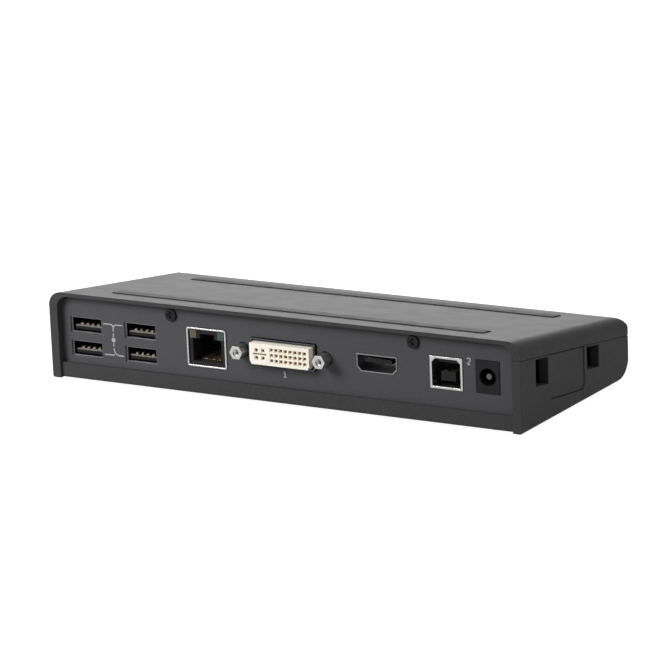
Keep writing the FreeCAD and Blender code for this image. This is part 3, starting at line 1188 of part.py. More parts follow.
def power_button():
    """The round power button; a collar behind the fascia keeps it in."""
    x = "dims.button_offset"
    start = f"({FASCIA_FACE} - dims.button_proud)"
    cap = rod_back("button_cap", x, start, BUTTON_MID, "dims.button_radius",
                   f"{FASCIA_BACK} - {start} + 0.5")
    collar = rod_back("button_collar_disc", x, f"{FASCIA_BACK} + dims.fit_gap", BUTTON_MID,
                      "dims.button_radius + dims.button_gap + dims.button_collar",
                      "dims.button_collar_thickness - dims.fit_gap")
    return keep("power_button", fuse("button_solid", [cap, collar]))


def switch_plunger():
    """The switch's own plunger, pushed by the button."""
    start = f"{FASCIA_BACK} + dims.button_collar_thickness"
    rod = rod_back("plunger_rod", "dims.button_offset", start, BUTTON_MID, "dims.plunger_radius",
                   "dims.plunger_length")
    return keep("switch_plunger", rod)


def tact_switch():
    """The switch behind the button, bored for its plunger."""
    x = "dims.button_offset"
    case = block("switch_case", x, SWITCH_FRONT, BOARD_TOP, "dims.switch_width",
                 "dims.switch_depth", "dims.switch_rise")
    bore = rod_back("switch_bore", x, f"{SWITCH_FRONT} - 1", BUTTON_MID,
                    "dims.plunger_radius + 0.15", "dims.plunger_length + dims.button_travel + 0.9")
    return keep("tact_switch", cut("switch_cut", case, [bore]))


def light_pipe():
    """The clear rod of the power light, on a foot that stands on the board."""
    x = "dims.light_offset"
    rod = rod_back("light_rod", x, f"{FASCIA_FACE} - 0.1", BUTTON_MID, "dims.light_radius",
                   "dims.light_depth")
    foot_start = f"{FASCIA_FACE} + dims.light_depth - 0.1 - dims.light_foot"
    foot = block("light_foot_block", x, foot_start, BOARD_TOP, "dims.light_foot",
                 "dims.light_foot", f"{BUTTON_MID} - {BOARD_TOP}")
    return keep("power_light_pipe", fuse("light_solid", [rod, foot]))


# ---- screws --------------------------------------------------------------------------

def case_screws():
    """Four screws that enter from below and pull the cover down on the tray."""
    screws = []
    for index, (x, y) in enumerate(case_screw_places()):
        head = rod_up(f"case_head_{index}", x, y, f"{BASE} + 0.1",
                      "dims.case_screw_head_radius", "dims.case_screw_head_height - 0.1")
        shank = peg_up(f"case_shank_{index}", x, y, f"{BASE} + 0.5", "dims.screw_radius",
                       "dims.case_screw_length + 0.5")
        drive = cross_recess(f"case_drive_{index}", x, y, f"{BASE} + 0.1", True)
        screws.append(cut(f"case_screw_{index}", fuse(f"case_solid_{index}", [head, shank]), drive))
    return keep("case_screws", group("case_screw_set", screws))


def board_screws():
    """Four screws that hold the board to its standoffs."""
    screws = []
    for index, (x, y) in enumerate(board_screw_places()):
        head = peg_up(f"board_head_{index}", x, y, BOARD_TOP, "dims.board_screw_head_radius",
                      "dims.board_screw_head_height", sides=12)
        low = f"({BOARD_LOW} - dims.board_screw_bite)"
        shank = peg_up(f"board_shank_{index}", x, y, low, "dims.screw_radius",
                       f"{BOARD_TOP} - {low} + 0.5")
        screws.append(fuse(f"board_screw_{index}", [head, shank]))
    return keep("board_screws", group("board_screw_set", screws))


def panel_screws():
    """Two black screws that hold the rear panel to the cover's bosses."""
    screws = []
    seat = f"({PANEL_FACE} - dims.panel_screw_sink)"
    for index, x in enumerate(panel_screw_sides()):
        head = rod_back(f"panel_head_{index}", x, seat, PANEL_SCREW_MID,
                        "dims.panel_screw_head_radius", "dims.panel_screw_head_height")
        shank = rod_back(f"panel_shank_{index}", x, f"{seat} - dims.panel_screw_length",
                         PANEL_SCREW_MID, "dims.screw_radius", "dims.panel_screw_length + 0.5")
        drive = cross_recess(f"panel_drive_{index}", x,
                             f"{seat} + dims.panel_screw_head_height", PANEL_SCREW_MID, False)
        screws.append(cut(f"panel_screw_{index}", fuse(f"panel_solid_{index}", [head, shank]), drive))
    return keep("panel_screws", group("panel_screw_set", screws))


# ---- build, check and write ----------------------------------------------------------

def build():
    bottom_tray()
    top_cover()
    rear_panel()
    side_insert("left", 1)
    side_insert("right", -1)
    for name, y in strip_rows().items():
        grip_strip(name, y)
    for name, (x, y) in foot_places().items():
        rubber_foot(name, x, y)
    main_board()
    display_chip()
    heat_sink()
    hub_chip()
    network_transformer()
    capacitors()
    usb_stack("left", USB_LEFT)
    usb_stack("right", USB_RIGHT)
    front_usb("left", "dims.front_usb_left")
    front_usb("right", "dims.front_usb_right")
    network_socket()
    dvi_shell()
    dvi_housing()
    dvi_insert()
    dvi_contacts()
    dvi_jackscrews()
    hdmi_socket()
    usb_b_socket()
    dc_socket()
    front_fascia()
    audio_jack("headphone_jack", "dims.headphone_offset")
    audio_jack("microphone_jack", "dims.microphone_offset")
    power_button()
    switch_plunger()
    tact_switch()
    light_pipe()
    case_screws()
    board_screws()
    panel_screws()
    DOCUMENT.recompute()


def check():
    """Stop if any object failed or any finished shape is empty or broken."""
    failed = [item.Name for item in DOCUMENT.Objects
              if "Invalid" in item.State or "Error" in item.State]
    if failed:
        raise RuntimeError(f"failed objects: {failed}")
    for label, item in NODES.items():
        if item.Shape.isNull() or not item.Shape.isValid() or not item.Shape.Solids:
            raise RuntimeError(f"{label} has no valid solid")


def write():
    os.makedirs("parts", exist_ok=True)
    for label, item in NODES.items():
        item.Shape.exportStep(f"parts/{label}.step")


build()
check()
write()
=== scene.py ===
import json
import math

import bmesh
import bpy
from mathutils import Matrix, Vector

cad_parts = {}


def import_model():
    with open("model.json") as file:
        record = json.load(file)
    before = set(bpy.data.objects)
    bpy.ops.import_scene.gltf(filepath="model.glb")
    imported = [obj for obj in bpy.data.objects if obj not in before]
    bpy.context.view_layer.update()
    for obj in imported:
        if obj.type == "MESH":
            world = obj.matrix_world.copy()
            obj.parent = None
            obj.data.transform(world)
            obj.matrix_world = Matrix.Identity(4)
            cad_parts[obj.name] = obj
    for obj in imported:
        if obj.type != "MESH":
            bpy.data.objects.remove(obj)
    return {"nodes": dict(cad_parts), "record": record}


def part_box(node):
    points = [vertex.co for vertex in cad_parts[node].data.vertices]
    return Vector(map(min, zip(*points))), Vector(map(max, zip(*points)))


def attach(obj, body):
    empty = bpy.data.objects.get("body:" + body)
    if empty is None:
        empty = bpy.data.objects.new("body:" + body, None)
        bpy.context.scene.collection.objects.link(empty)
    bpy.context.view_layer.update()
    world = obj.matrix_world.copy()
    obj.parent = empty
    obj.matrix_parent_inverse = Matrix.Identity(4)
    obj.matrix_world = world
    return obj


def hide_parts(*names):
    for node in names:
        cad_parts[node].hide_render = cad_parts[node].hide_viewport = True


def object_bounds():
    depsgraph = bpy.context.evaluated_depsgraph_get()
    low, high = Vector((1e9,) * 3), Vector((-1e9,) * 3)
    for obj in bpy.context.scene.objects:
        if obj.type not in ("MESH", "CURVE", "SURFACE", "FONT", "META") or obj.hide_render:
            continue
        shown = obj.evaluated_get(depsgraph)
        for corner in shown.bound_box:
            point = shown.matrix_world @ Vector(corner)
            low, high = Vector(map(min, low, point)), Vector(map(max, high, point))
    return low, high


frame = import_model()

# Looks of the laptop docking station: finishes for every CAD node, the white print on the
# rear panel, the fine moulded and stamped details, the floor, the lights and the camera.
# Metres, in the CAD frame: rear sockets face +Y, the top slopes down towards -Y.

CAD_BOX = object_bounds()
CENTRE = (CAD_BOX[0] + CAD_BOX[1]) / 2
NODES = frame["nodes"]
MM = 0.001


def mid(node):
    """Middle of a CAD node's box."""
    low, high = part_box(node)
    return (low + high) / 2


def srgb(red, green, blue):
    """Linear colour of an 8-bit sRGB one."""
    def linear(channel):
        part = channel / 255
        return part / 12.92 if part <= 0.04045 else ((part + 0.055) / 1.055) ** 2.4
    return (linear(red), linear(green), linear(blue), 1.0)


# ---- materials -----------------------------------------------------------------------

# The span that takes in most of what a noise texture gives.
NOISE_LOW, NOISE_HIGH = 0.32, 0.68
# Colour sockets of a Mix node, which can't be told apart by name.
MIX_A, MIX_B, MIX_RESULT = 6, 7, 2


class Surface:
    """A procedural material under construction: a Principled shader and its textures."""

    def __init__(self, name, colour, roughness, metallic=0.0):
        self.material = bpy.data.materials.new(name)
        self.material.use_nodes = True
        self.tree = self.material.node_tree
        self.shader = self.tree.nodes["Principled BSDF"]
        self.shader.inputs["Base Color"].default_value = colour
        self.shader.inputs["Roughness"].default_value = roughness
        self.shader.inputs["Metallic"].default_value = metallic
        self.colour = colour
        self.roughness = roughness
        self.coordinates = self.add("ShaderNodeTexCoord").outputs["Object"]
        self.material.diffuse_color = colour

    def add(self, kind, **settings):
        node = self.tree.nodes.new(kind)
        for name, setting in settings.items():
            setattr(node, name, setting)
        return node

    def join(self, source, target):
        self.tree.links.new(source, target)

    def noise(self, size, detail=2.0, roughness=0.5, stretch=None):
        """Noise whose features are about this many metres across."""
        texture = self.add("ShaderNodeTexNoise")
        texture.inputs["Scale"].default_value = 1.0 / size
        texture.inputs["Detail"].default_value = detail
        texture.inputs["Roughness"].default_value = roughness
        if stretch:
            mapping = self.add("ShaderNodeMapping")
            mapping.inputs["Scale"].default_value = stretch
            self.join(self.coordinates, mapping.inputs["Vector"])
            self.join(mapping.outputs["Vector"], texture.inputs["Vector"])
        else:
            self.join(self.coordinates, texture.inputs["Vector"])
        return texture.outputs["Fac"]

    def spread(self, value, low, high):
        """Map a noise value to a range."""
        ranged = self.add("ShaderNodeMapRange")
        ranged.inputs["From Min"].default_value = NOISE_LOW
        ranged.inputs["From Max"].default_value = NOISE_HIGH
        ranged.inputs["To Min"].default_value = low
        ranged.inputs["To Max"].default_value = high
        self.join(value, ranged.inputs["Value"])
        return ranged.outputs["Result"]

    def vary_roughness(self, value, amount):
        self.join(self.spread(value, self.roughness - amount, self.roughness + amount),
                  self.shader.inputs["Roughness"])

    def vary_colour(self, value, amount):
        """Shift the base colour a little darker and lighter with a texture."""
        mix = self.add("ShaderNodeMix", data_type="RGBA")
        dark = [channel * (1 - amount) for channel in self.colour[:3]] + [1]
        light = [min(1, channel * (1 + amount)) for channel in self.colour[:3]] + [1]
        mix.inputs[MIX_A].default_value = dark
        mix.inputs[MIX_B].default_value = light
        self.join(self.spread(value, 0.0, 1.0), mix.inputs[0])
        self.join(mix.outputs[MIX_RESULT], self.shader.inputs["Base Color"])

    def relief(self, value, depth, edge=0.0):
        """Bump of this depth in metres, over edges rounded by the given radius."""
        bump = self.add("ShaderNodeBump")
        bump.inputs["Distance"].default_value = depth
        self.join(value, bump.inputs["Height"])
        if edge:
            bevel = self.add("ShaderNodeBevel", samples=4)
            bevel.inputs["Radius"].default_value = edge
            self.join(bevel.outputs["Normal"], bump.inputs["Normal"])
        self.join(bump.outputs["Normal"], self.shader.inputs["Normal"])


def moulded(name, colour, roughness, grain=0.35 * MM, depth=0.02 * MM, edge=0.25 * MM):
    """Injection-moulded plastic with a fine spark-eroded grain."""
    surface = Surface(name, colour, roughness)
    fine = surface.noise(grain, detail=3.0, roughness=0.6)
    broad = surface.noise(9 * MM, detail=2.0)
    surface.relief(fine, depth, edge)
    surface.vary_roughness(broad, 0.02)
    surface.vary_colour(surface.noise(grain * 1.7, detail=2.0), 0.10)
    surface.shader.inputs["Specular IOR Level"].default_value = 0.12
    return surface.material


def smooth_plastic(name, colour, roughness, edge=0.15 * MM):
    """Gloss plastic with the faint waviness of a polished mould."""
    surface = Surface(name, colour, roughness)
    surface.relief(surface.noise(1.6 * MM, detail=1.0), 0.004 * MM, edge)
    surface.vary_roughness(surface.noise(3 * MM, detail=3.0), 0.05)
    surface.vary_colour(surface.noise(5 * MM), 0.04)
    return surface.material


def rubber(name, colour):
    """Matt rubber with a coarser, softer grain than the plastic."""
    surface = Surface(name, colour, 0.78)
    surface.relief(surface.noise(0.22 * MM, detail=4.0, roughness=0.7), 0.03 * MM, 0.3 * MM)
    surface.vary_roughness(surface.noise(4 * MM), 0.06)
    surface.vary_colour(surface.noise(1.3 * MM, detail=3.0), 0.12)
    surface.shader.inputs["Specular IOR Level"].default_value = 0.3
    return surface.material


def rolled_metal(name, colour, roughness, stretch=(1.0, 1.0, 14.0)):
    """Stamped and plated sheet, with rolling lines along one way."""
    surface = Surface(name, colour, roughness, metallic=1.0)
    lines = surface.noise(1.5 * MM, detail=4.0, roughness=0.65, stretch=stretch)
    surface.relief(lines, 0.004 * MM, 0.12 * MM)
    surface.vary_roughness(surface.noise(1.2 * MM, detail=3.0), 0.07)
    surface.vary_colour(surface.noise(2.5 * MM), 0.05)
    return surface.material


def plated(name, colour, roughness):
    """Turned or cast metal under a thin bright plating."""
    surface = Surface(name, colour, roughness, metallic=1.0)
    surface.relief(surface.noise(0.5 * MM, detail=3.0), 0.004 * MM, 0.12 * MM)
    surface.vary_roughness(surface.noise(1.5 * MM, detail=3.0), 0.06)
    surface.vary_colour(surface.noise(1.0 * MM), 0.06)
    return surface.material


def board_mask(name, colour):
    """Green solder mask with copper traces faintly raised under it."""
    surface = Surface(name, colour, 0.35)
    waves = surface.add("ShaderNodeTexWave", wave_type="BANDS", bands_direction="DIAGONAL")
    waves.inputs["Scale"].default_value = 260.0
    waves.inputs["Distortion"].default_value = 6.0
    surface.join(surface.coordinates, waves.inputs["Vector"])
    surface.relief(waves.outputs["Fac"], 0.02 * MM)
    surface.vary_colour(waves.outputs["Fac"], 0.25)
    return surface.material


def clear_window(name, colour):
    """A small translucent window with light scattering inside it."""
    surface = Surface(name, colour, 0.18)
    surface.shader.inputs["Subsurface Weight"].default_value = 0.4
    surface.shader.inputs["Subsurface Radius"].default_value = (0.0006, 0.0006, 0.0004)
    surface.relief(surface.noise(0.7 * MM, detail=2.0), 0.01 * MM, 0.1 * MM)
    surface.vary_colour(surface.noise(1.4 * MM), 0.15)
    return surface.material


def lamp_windows(name, near_colour, far_colour, split):
    """Two small lenses of different colours, one each side of a plane across X."""
    surface = Surface(name, near_colour, 0.2)
    surface.shader.inputs["Subsurface Weight"].default_value = 0.3
    surface.shader.inputs["Subsurface Radius"].default_value = (0.0006, 0.0005, 0.0003)
    surface.relief(surface.noise(0.7 * MM, detail=2.0), 0.01 * MM, 0.1 * MM)
    parts = surface.add("ShaderNodeSeparateXYZ")
    surface.join(surface.coordinates, parts.inputs[0])
    side = surface.add("ShaderNodeMath", operation="GREATER_THAN")
    side.inputs[1].default_value = split
    surface.join(parts.outputs["X"], side.inputs[0])
    mix = surface.add("ShaderNodeMix", data_type="RGBA")
    mix.inputs[MIX_A].default_value = far_colour
    mix.inputs[MIX_B].default_value = near_colour
    surface.join(side.outputs[0], mix.inputs[0])
    shade = surface.add("ShaderNodeMix", data_type="RGBA", blend_type="MULTIPLY")
    shade.inputs[0].default_value = 1.0
    cloud = surface.add("ShaderNodeCombineColor")
    level = surface.spread(surface.noise(1.1 * MM, detail=2.0), 0.75, 1.0)
    for channel in range(3):
        surface.join(level, cloud.inputs[channel])
    surface.join(mix.outputs[MIX_RESULT], shade.inputs[MIX_A])
    surface.join(cloud.outputs[0], shade.inputs[MIX_B])
    surface.join(shade.outputs[MIX_RESULT], surface.shader.inputs["Base Color"])
    return surface.material


def print_ink(name, colour):
    """Screen-printed ink, slightly uneven in cover."""
    surface = Surface(name, colour, 0.6)
    surface.vary_colour(surface.noise(0.35 * MM, detail=3.0), 0.12)
    surface.relief(surface.noise(0.2 * MM, detail=2.0), 0.006 * MM)
    return surface.material


# Finishes of the record's slots, and of the pieces added here.
FINISHES = {
    "case_plastic": moulded("case_plastic_look", srgb(57, 57, 58), 0.6),
    "panel_plastic": moulded("panel_plastic_look", srgb(72, 72, 74), 0.58, grain=0.3 * MM),
    "gloss_black": smooth_plastic("gloss_black_look", srgb(22, 22, 24), 0.12),
    "rubber_grey": rubber("rubber_grey_look", srgb(52, 52, 54)),
    "rubber_black": rubber("rubber_black_look", srgb(34, 34, 35)),
    "board_green": board_mask("board_green_look", srgb(24, 82, 48)),
    "chip_black": moulded("chip_black_look", srgb(36, 36, 38), 0.55, grain=0.15 * MM),
    "heat_sink_metal": rolled_metal("heat_sink_look", srgb(178, 180, 184), 0.42, (1, 12, 1)),
    "can_metal": rolled_metal("can_metal_look", srgb(190, 191, 194), 0.3, (1, 1, 9)),
    "plated_steel": rolled_metal("plated_steel_look", srgb(168, 168, 168), 0.32),
    "socket_plastic": moulded("socket_plastic_look", srgb(26, 26, 28), 0.42, grain=0.2 * MM,
                              depth=0.008 * MM, edge=0.12 * MM),
    "contact_metal": plated("contact_metal_look", srgb(158, 148, 124), 0.32),
    "nickel": plated("nickel_look", srgb(166, 166, 164), 0.4),
    "gold": plated("gold_look", srgb(218, 198, 162), 0.34),
    "ivory_plastic": moulded("ivory_plastic_look", srgb(244, 238, 226), 0.4, grain=0.2 * MM,
                             depth=0.006 * MM, edge=0.12 * MM),
    "button_plastic": smooth_plastic("button_plastic_look", srgb(58, 59, 62), 0.28),
    "light_pipe": clear_window("light_pipe_look", srgb(206, 216, 226)),
    "black_steel": plated("black_steel_look", srgb(34, 34, 35), 0.3),
    "tongue_plastic": moulded("tongue_plastic_look", srgb(20, 20, 20), 0.4, grain=0.2 * MM,
                              depth=0.006 * MM, edge=0.1 * MM),
    # Painted highlight: a lighter grey than the tongues' black, put on their upper chamfers where
    # light catches the front edge.
    "tongue_painted_highlight": smooth_plastic("tongue_painted_highlight_look", srgb(98, 98, 94), 0.3, edge=0.05 * MM),
    # Painted shadow: near black, for strips that stand in for the shade in a joint's gap.
    "seam_shadow_paint": moulded("seam_shadow_paint_look", srgb(14, 14, 14), 0.6),
    # Painted shade: the USB sockets' lips are a darker grey than their plating, standing in for
    # the shade at the mouths.
    "lip_painted_shade": rolled_metal("lip_painted_shade_look", srgb(122, 122, 122), 0.3),
    "bright_lip": rolled_metal("bright_lip_look", srgb(168, 168, 166), 0.3),
    "print_white": print_ink("print_white_look", srgb(158, 160, 163)),
}
# Nodes whose look differs from the rest of their record slot.
NODE_LOOKS = {
    # Painted shade: the DVI shell is a dark grey rather than its plating's colour, standing in
    # for the shade round the insert.
    "dvi_shell": plated("dvi_shell_painted_shade_look", srgb(72, 72, 74), 0.34),
    "network_windows": lamp_windows("lamp_windows_look", srgb(78, 70, 36), srgb(30, 62, 46),
                                    mid("network_windows").x),
    "network_shield": rolled_metal("network_shield_look", srgb(84, 84, 84), 0.3),
    # Painted shade: the USB shells are a darker grey than their plating, standing in for the
    # shade in the sockets' mouths.
    "usb_stack_left_shell": rolled_metal("usb_left_shell_painted_shade_look", srgb(92, 92, 94), 0.34),
    "usb_stack_right_shell": rolled_metal("usb_right_shell_painted_shade_look", srgb(92, 92, 94), 0.34),
    "dc_jack_pin": plated("dc_pin_look", srgb(84, 84, 82), 0.5),
    "hdmi_shell": rolled_metal("hdmi_shell_look", srgb(120, 120, 122), 0.36),
}


def dress_nodes():
    """Give every CAD node its own look, or else the finish of its record slot."""
    for entry in frame["record"]["subparts"]:
        name = entry["node"]
        look = NODE_LOOKS[name] if name in NODE_LOOKS else FINISHES[entry["material_slot"]]
        materials = NODES[name].data.materials
        materials.clear()
        materials.append(look)


# ---- mesh helpers --------------------------------------------------------------------

def add_piece(name, mesh_builder, finish, body="case"):
    """A new mesh piece that rides on a CAD body."""
    mesh = bpy.data.meshes.new(name)
    builder = bmesh.new()
    mesh_builder(builder)
    bmesh.ops.recalc_face_normals(builder, faces=builder.faces)
    builder.to_mesh(mesh)
    builder.free()
    piece = bpy.data.objects.new(name, mesh)
    bpy.context.scene.collection.objects.link(piece)
    mesh.materials.append(FINISHES[finish])
    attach(piece, body)
    return piece


# A print stands this far proud of its face, and starts this far behind it.
FILM = 0.02 * MM
FILM_SINK = 0.01 * MM


def ribbon(builder, points, width, y, thickness=FILM):
    """A flat printed line through points in the XZ plane, standing on the face at y."""
    half = width / 2
    count = len(points)
    rims = []
    for index, point in enumerate(points):
        before = Vector(points[max(index - 1, 0)])
        after = Vector(points[min(index + 1, count - 1)])
        along = (after - before).normalized()
        side = Vector((-along.y, along.x)) * half
        here = Vector(point)
        rims.append((here + side, here - side))
    layers = []
    for level in (y - FILM_SINK, y + thickness):
        layers.append([[builder.verts.new((p.x, level, p.y)) for p in pair] for pair in rims])
    low, high = layers
    for index in range(count - 1):
        for layer in layers:
            builder.faces.new((layer[index][0], layer[index + 1][0],
                               layer[index + 1][1], layer[index][1]))
        for side in (0, 1):
            builder.faces.new((low[index][side], low[index + 1][side],
                               high[index + 1][side], high[index][side]))
    for end in (0, -1):
        builder.faces.new((low[end][0], high[end][0], high[end][1], low[end][1]))


def arc_points(centre, radius, start, end, steps=8):
    """Points on a circular arc in the XZ plane, angles in degrees."""
    points = []
    for step in range(steps + 1):
        angle = math.radians(start + (end - start) * step / steps)
        points.append((centre[0] + radius * math.cos(angle),
                       centre[1] + radius * math.sin(angle)))
    return points


def printed_disc(builder, centre, radius, y, steps=20):
    """A flat printed dot standing on the face at y."""
    outline = arc_points(centre, radius, 0, 360, steps)[:-1]
    low, high = [[builder.verts.new((x, level, z)) for x, z in outline]
                 for level in (y - FILM_SINK, y + FILM)]
    builder.faces.new(low)
    builder.faces.new(high)
    for index in range(steps):
        after = (index + 1) % steps
        builder.faces.new((low[index], low[after], high[after], high[index]))


def extrude_x(builder, outline, x_mid, width):
    """A solid with the given outline in the YZ plane, this wide along X; returns its faces."""
    near, far = [[builder.verts.new((x, y, z)) for y, z in outline]
                 for x in (x_mid - width / 2, x_mid + width / 2)]
    faces = []
    for index in range(len(outline)):
        after = (index + 1) % len(outline)
        faces.append(builder.faces.new((near[index], far[index], far[after], near[after])))
    faces.append(builder.faces.new(near))
    faces.append(builder.faces.new(list(reversed(far))))
    return faces


def rounded_rectangle(centre, half_width, half_height, radius, steps=4):
    """Points round a rectangle in the XZ plane with rounded corners."""
    points = []
    for across, up, start in ((1, 1, 0), (-1, 1, 90), (-1, -1, 180), (1, -1, 270)):
        corner = (centre[0] + across * (half_width - radius),
                  centre[1] + up * (half_height - radius))
        points += arc_points(corner, radius, start, start + 90, steps)
    return points


def ring_of_outlines(builder, outlines):
    """A closed ring through XZ outlines of as many points each, given with their Y."""
    loops = [[builder.verts.new((x, y, z)) for x, z in outline] for outline, y in outlines]
    for index, loop in enumerate(loops):
        after = loops[(index + 1) % len(loops)]
        for here in range(len(loop)):
            there = (here + 1) % len(loop)
            builder.faces.new((loop[here], loop[there], after[there], after[here]))


def swept_ring(builder, centre, half_size, radius, profile):
    """A closed moulding round a rectangle; the profile lists its insets and their Y."""
    ring_of_outlines(builder, [
        (rounded_rectangle(centre, half_size[0] - inset, half_size[1] - inset,
                           max(radius - inset, 0.02 * MM)), y) for inset, y in profile])


def helix_ridge(builder, centre, y_mouth, radius, pitch, turns, steps=20):
    """The ridge of an internal screw thread, going in from a mouth that faces +Y."""
    half_root, depth = 0.42, 0.55 * pitch
    rows = []
    for step in range(turns * steps + 1):
        angle = 2 * math.pi * step / steps
        middle = y_mouth - pitch * (0.5 + step / steps)
        row = []
        for reach, rise in ((radius, half_root), (radius - depth, 0.0), (radius, -half_root)):
            row.append(builder.verts.new((centre[0] + reach * math.cos(angle),
                                          middle + rise * pitch,
                                          centre[1] + reach * math.sin(angle))))
        rows.append(row)
    for row, after in zip(rows, rows[1:]):
        for side in range(3):
            other = (side + 1) % 3
            builder.faces.new((row[side], row[other], after[other], after[side]))
    builder.faces.new(rows[0])
    builder.faces.new(rows[-1])


# ---- sockets -------------------------------------------------------------------------

PANEL_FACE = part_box("rear_panel")[1].y
# Two mouths of a USB stack, and the middle of the upper one below the shell's top.
USB_PITCH = 8.7 * MM
USB_CROWN = 3.4 * MM
USB_MOUTH = (13.1 * MM, 5.7 * MM)
USB_CAVITY = 12.0 * MM
# A tongue starts behind the mouth, and its faces lie off the mouth's middle.
TONGUE_SETBACK = 1.0 * MM
TONGUE_WIDTH = 11.1 * MM
CONTACT_FACE = 0.35 * MM
TONGUE_BACK_FACE = 2.2 * MM
CONTACT_PITCH = 2.3 * MM
# Left and right edges of the ribs between the contacts, in millimetres.
RIB_EDGES = ((-5.55, -4.1), (-2.8, -1.8), (-0.5, 0.5), (1.8, 2.8), (4.1, 5.55))


def usb_levels(shell_box):
    """Heights of the middles of a stack's two mouths."""
    upper = shell_box[1].z - USB_CROWN
    return upper - USB_PITCH, upper


def usb_tongue(builder, x, level, root, front):
    """One tongue in the lower half of a mouth, with a slot for each contact."""
    low, high = level - TONGUE_BACK_FACE, level - CONTACT_FACE
    slot, bar, under, over = 0.3 * MM, 0.95 * MM, 0.3 * MM, 0.42 * MM
    slab = [(root, low), (front - under, low), (front, low + under),
            (front, high - over), (front - over, high), (front - bar, high),
            (front - bar, high - slot), (root, high - slot)]
    faces = extrude_x(builder, slab, x, TONGUE_WIDTH)
    # The upper chamfer takes the second material, a lighter grey painted as a highlight along the
    # tongue's front edge.
    upper_chamfer = faces[3]
    upper_chamfer.material_index = 1
    # Ribs reach a little into the slab, and stop just below its top.
    rib_low, rib_high = high - slot - 0.02 * MM, high - 0.01 * MM
    rib_front = front - bar + 0.05 * MM
    rib = [(root, rib_low), (rib_front, rib_low), (rib_front, rib_high), (root, rib_high)]
    for left, right in RIB_EDGES:
        extrude_x(builder, rib, x + (left + right) / 2 * MM, (right - left) * MM)


# Depth behind the tongue's front edge and rise over its contact face, in millimetres.
SPRING_PATH = ((10.9, -0.26), (3.9, -0.26), (3.2, 0.12), (2.6, 0.4), (2.0, 0.46), (1.5, 0.3),
               (1.02, -0.2))


def usb_springs(builder, x, level, mouth, facing=1, up=1):
    """Four contact springs that lie on a tongue and rise in a bump near its front.

    facing is 1 for a mouth towards +Y, and up is 1 for a tongue whose contacts face up.
    """
    front = mouth - facing * TONGUE_SETBACK
    contact_face = level - up * CONTACT_FACE
    path = [(front - facing * depth * MM, contact_face + up * rise * MM)
            for depth, rise in SPRING_PATH]
    thickness, width = 0.2 * MM, 1.0 * MM
    outline = path + [(y, z + up * thickness) for y, z in reversed(path)]
    for index in range(4):
        extrude_x(builder, outline, x + (index - 1.5) * CONTACT_PITCH, width)


def usb_lip(builder, x, level, mouth, facing=1):
    """The front edge of a USB shell, chamfered inwards to guide the plug."""
    wall, proud, corner = 0.42 * MM, 0.03 * MM, 0.3 * MM
    swept_ring(builder, (x, level), (USB_MOUTH[0] / 2, USB_MOUTH[1] / 2), corner,
               [(0.0, mouth + facing * proud), (wall, mouth - facing * wall),
                (0.0, mouth - facing * wall)])


def front_usb_inside(word):
    """Contact springs and mouth lip of one USB socket in the fascia."""
    low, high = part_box(f"front_usb_{word}_shell")
    x, level = (low.x + high.x) / 2, (low.z + high.z) / 2
    add_piece(f"front_usb_{word}_springs",
              lambda builder: usb_springs(builder, x, level, low.y, facing=-1, up=-1),
              "contact_metal")
    # Lips in the darker grey painted as shade at the mouth.
    add_piece(f"front_usb_{word}_lip",
              lambda builder: usb_lip(builder, x, level, low.y, facing=-1),
              "lip_painted_shade")


def usb_stack_inside(word):
    """Tongues, contact springs and mouth lips of one double USB socket."""
    shell_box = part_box(f"usb_stack_{word}_shell")
    core_low, core_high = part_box(f"usb_stack_{word}_insulator")
    x = (shell_box[0].x + shell_box[1].x) / 2
    mouth = shell_box[1].y
    root, front = mouth - USB_CAVITY, mouth - TONGUE_SETBACK
    levels = usb_levels(shell_box)

    def plastic(builder):
        bevel = 0.3 * MM
        core = [(core_low.y, core_low.z), (root, core_low.z), (root, core_high.z - bevel),
                (root - bevel, core_high.z), (core_low.y, core_high.z)]
        extrude_x(builder, core, x, core_high.x - core_low.x)
        for level in levels:
            usb_tongue(builder, x, level, root, front)

    def springs(builder):
        for level in levels:
            usb_springs(builder, x, level, mouth)

    def lips(builder):
        for level in levels:
            usb_lip(builder, x, level, mouth)

    tongues = add_piece(f"usb_{word}_tongues", plastic, "tongue_plastic")
    # The second material paints a highlight on the tongues' upper chamfers.
    tongues.data.materials.append(FINISHES["tongue_painted_highlight"])
    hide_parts(f"usb_stack_{word}_insulator")
    contacts = add_piece(f"usb_{word}_springs", springs, "contact_metal")
    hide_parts(f"usb_stack_{word}_contacts")
    # Lips in the darker grey painted as shade at the mouths.
    add_piece(f"usb_{word}_lips", lips, "lip_painted_shade")


# The shield's box reaches down to the board, below the mouth.
NETWORK_MOUTH_HEIGHT = 14.15 * MM


def network_lip():
    """The rolled front edge of the network jack's shield."""
    low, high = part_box("network_shield")
    half_height = NETWORK_MOUTH_HEIGHT / 2
    wall, roll, corner = 0.66 * MM, 0.16 * MM, 0.9 * MM
    back, shoulder, crown = high.y - 0.3 * MM, high.y + 0.1 * MM, high.y + 0.24 * MM
    profile = [(0.0, back), (0.0, shoulder), (roll, crown),
               (wall - roll, crown), (wall, shoulder), (wall, back)]

    def draw(builder):
        swept_ring(builder, ((low.x + high.x) / 2, high.z - half_height),
                   ((high.x - low.x) / 2, half_height), corner, profile)

    add_piece("network_shield_lip", draw, "bright_lip")


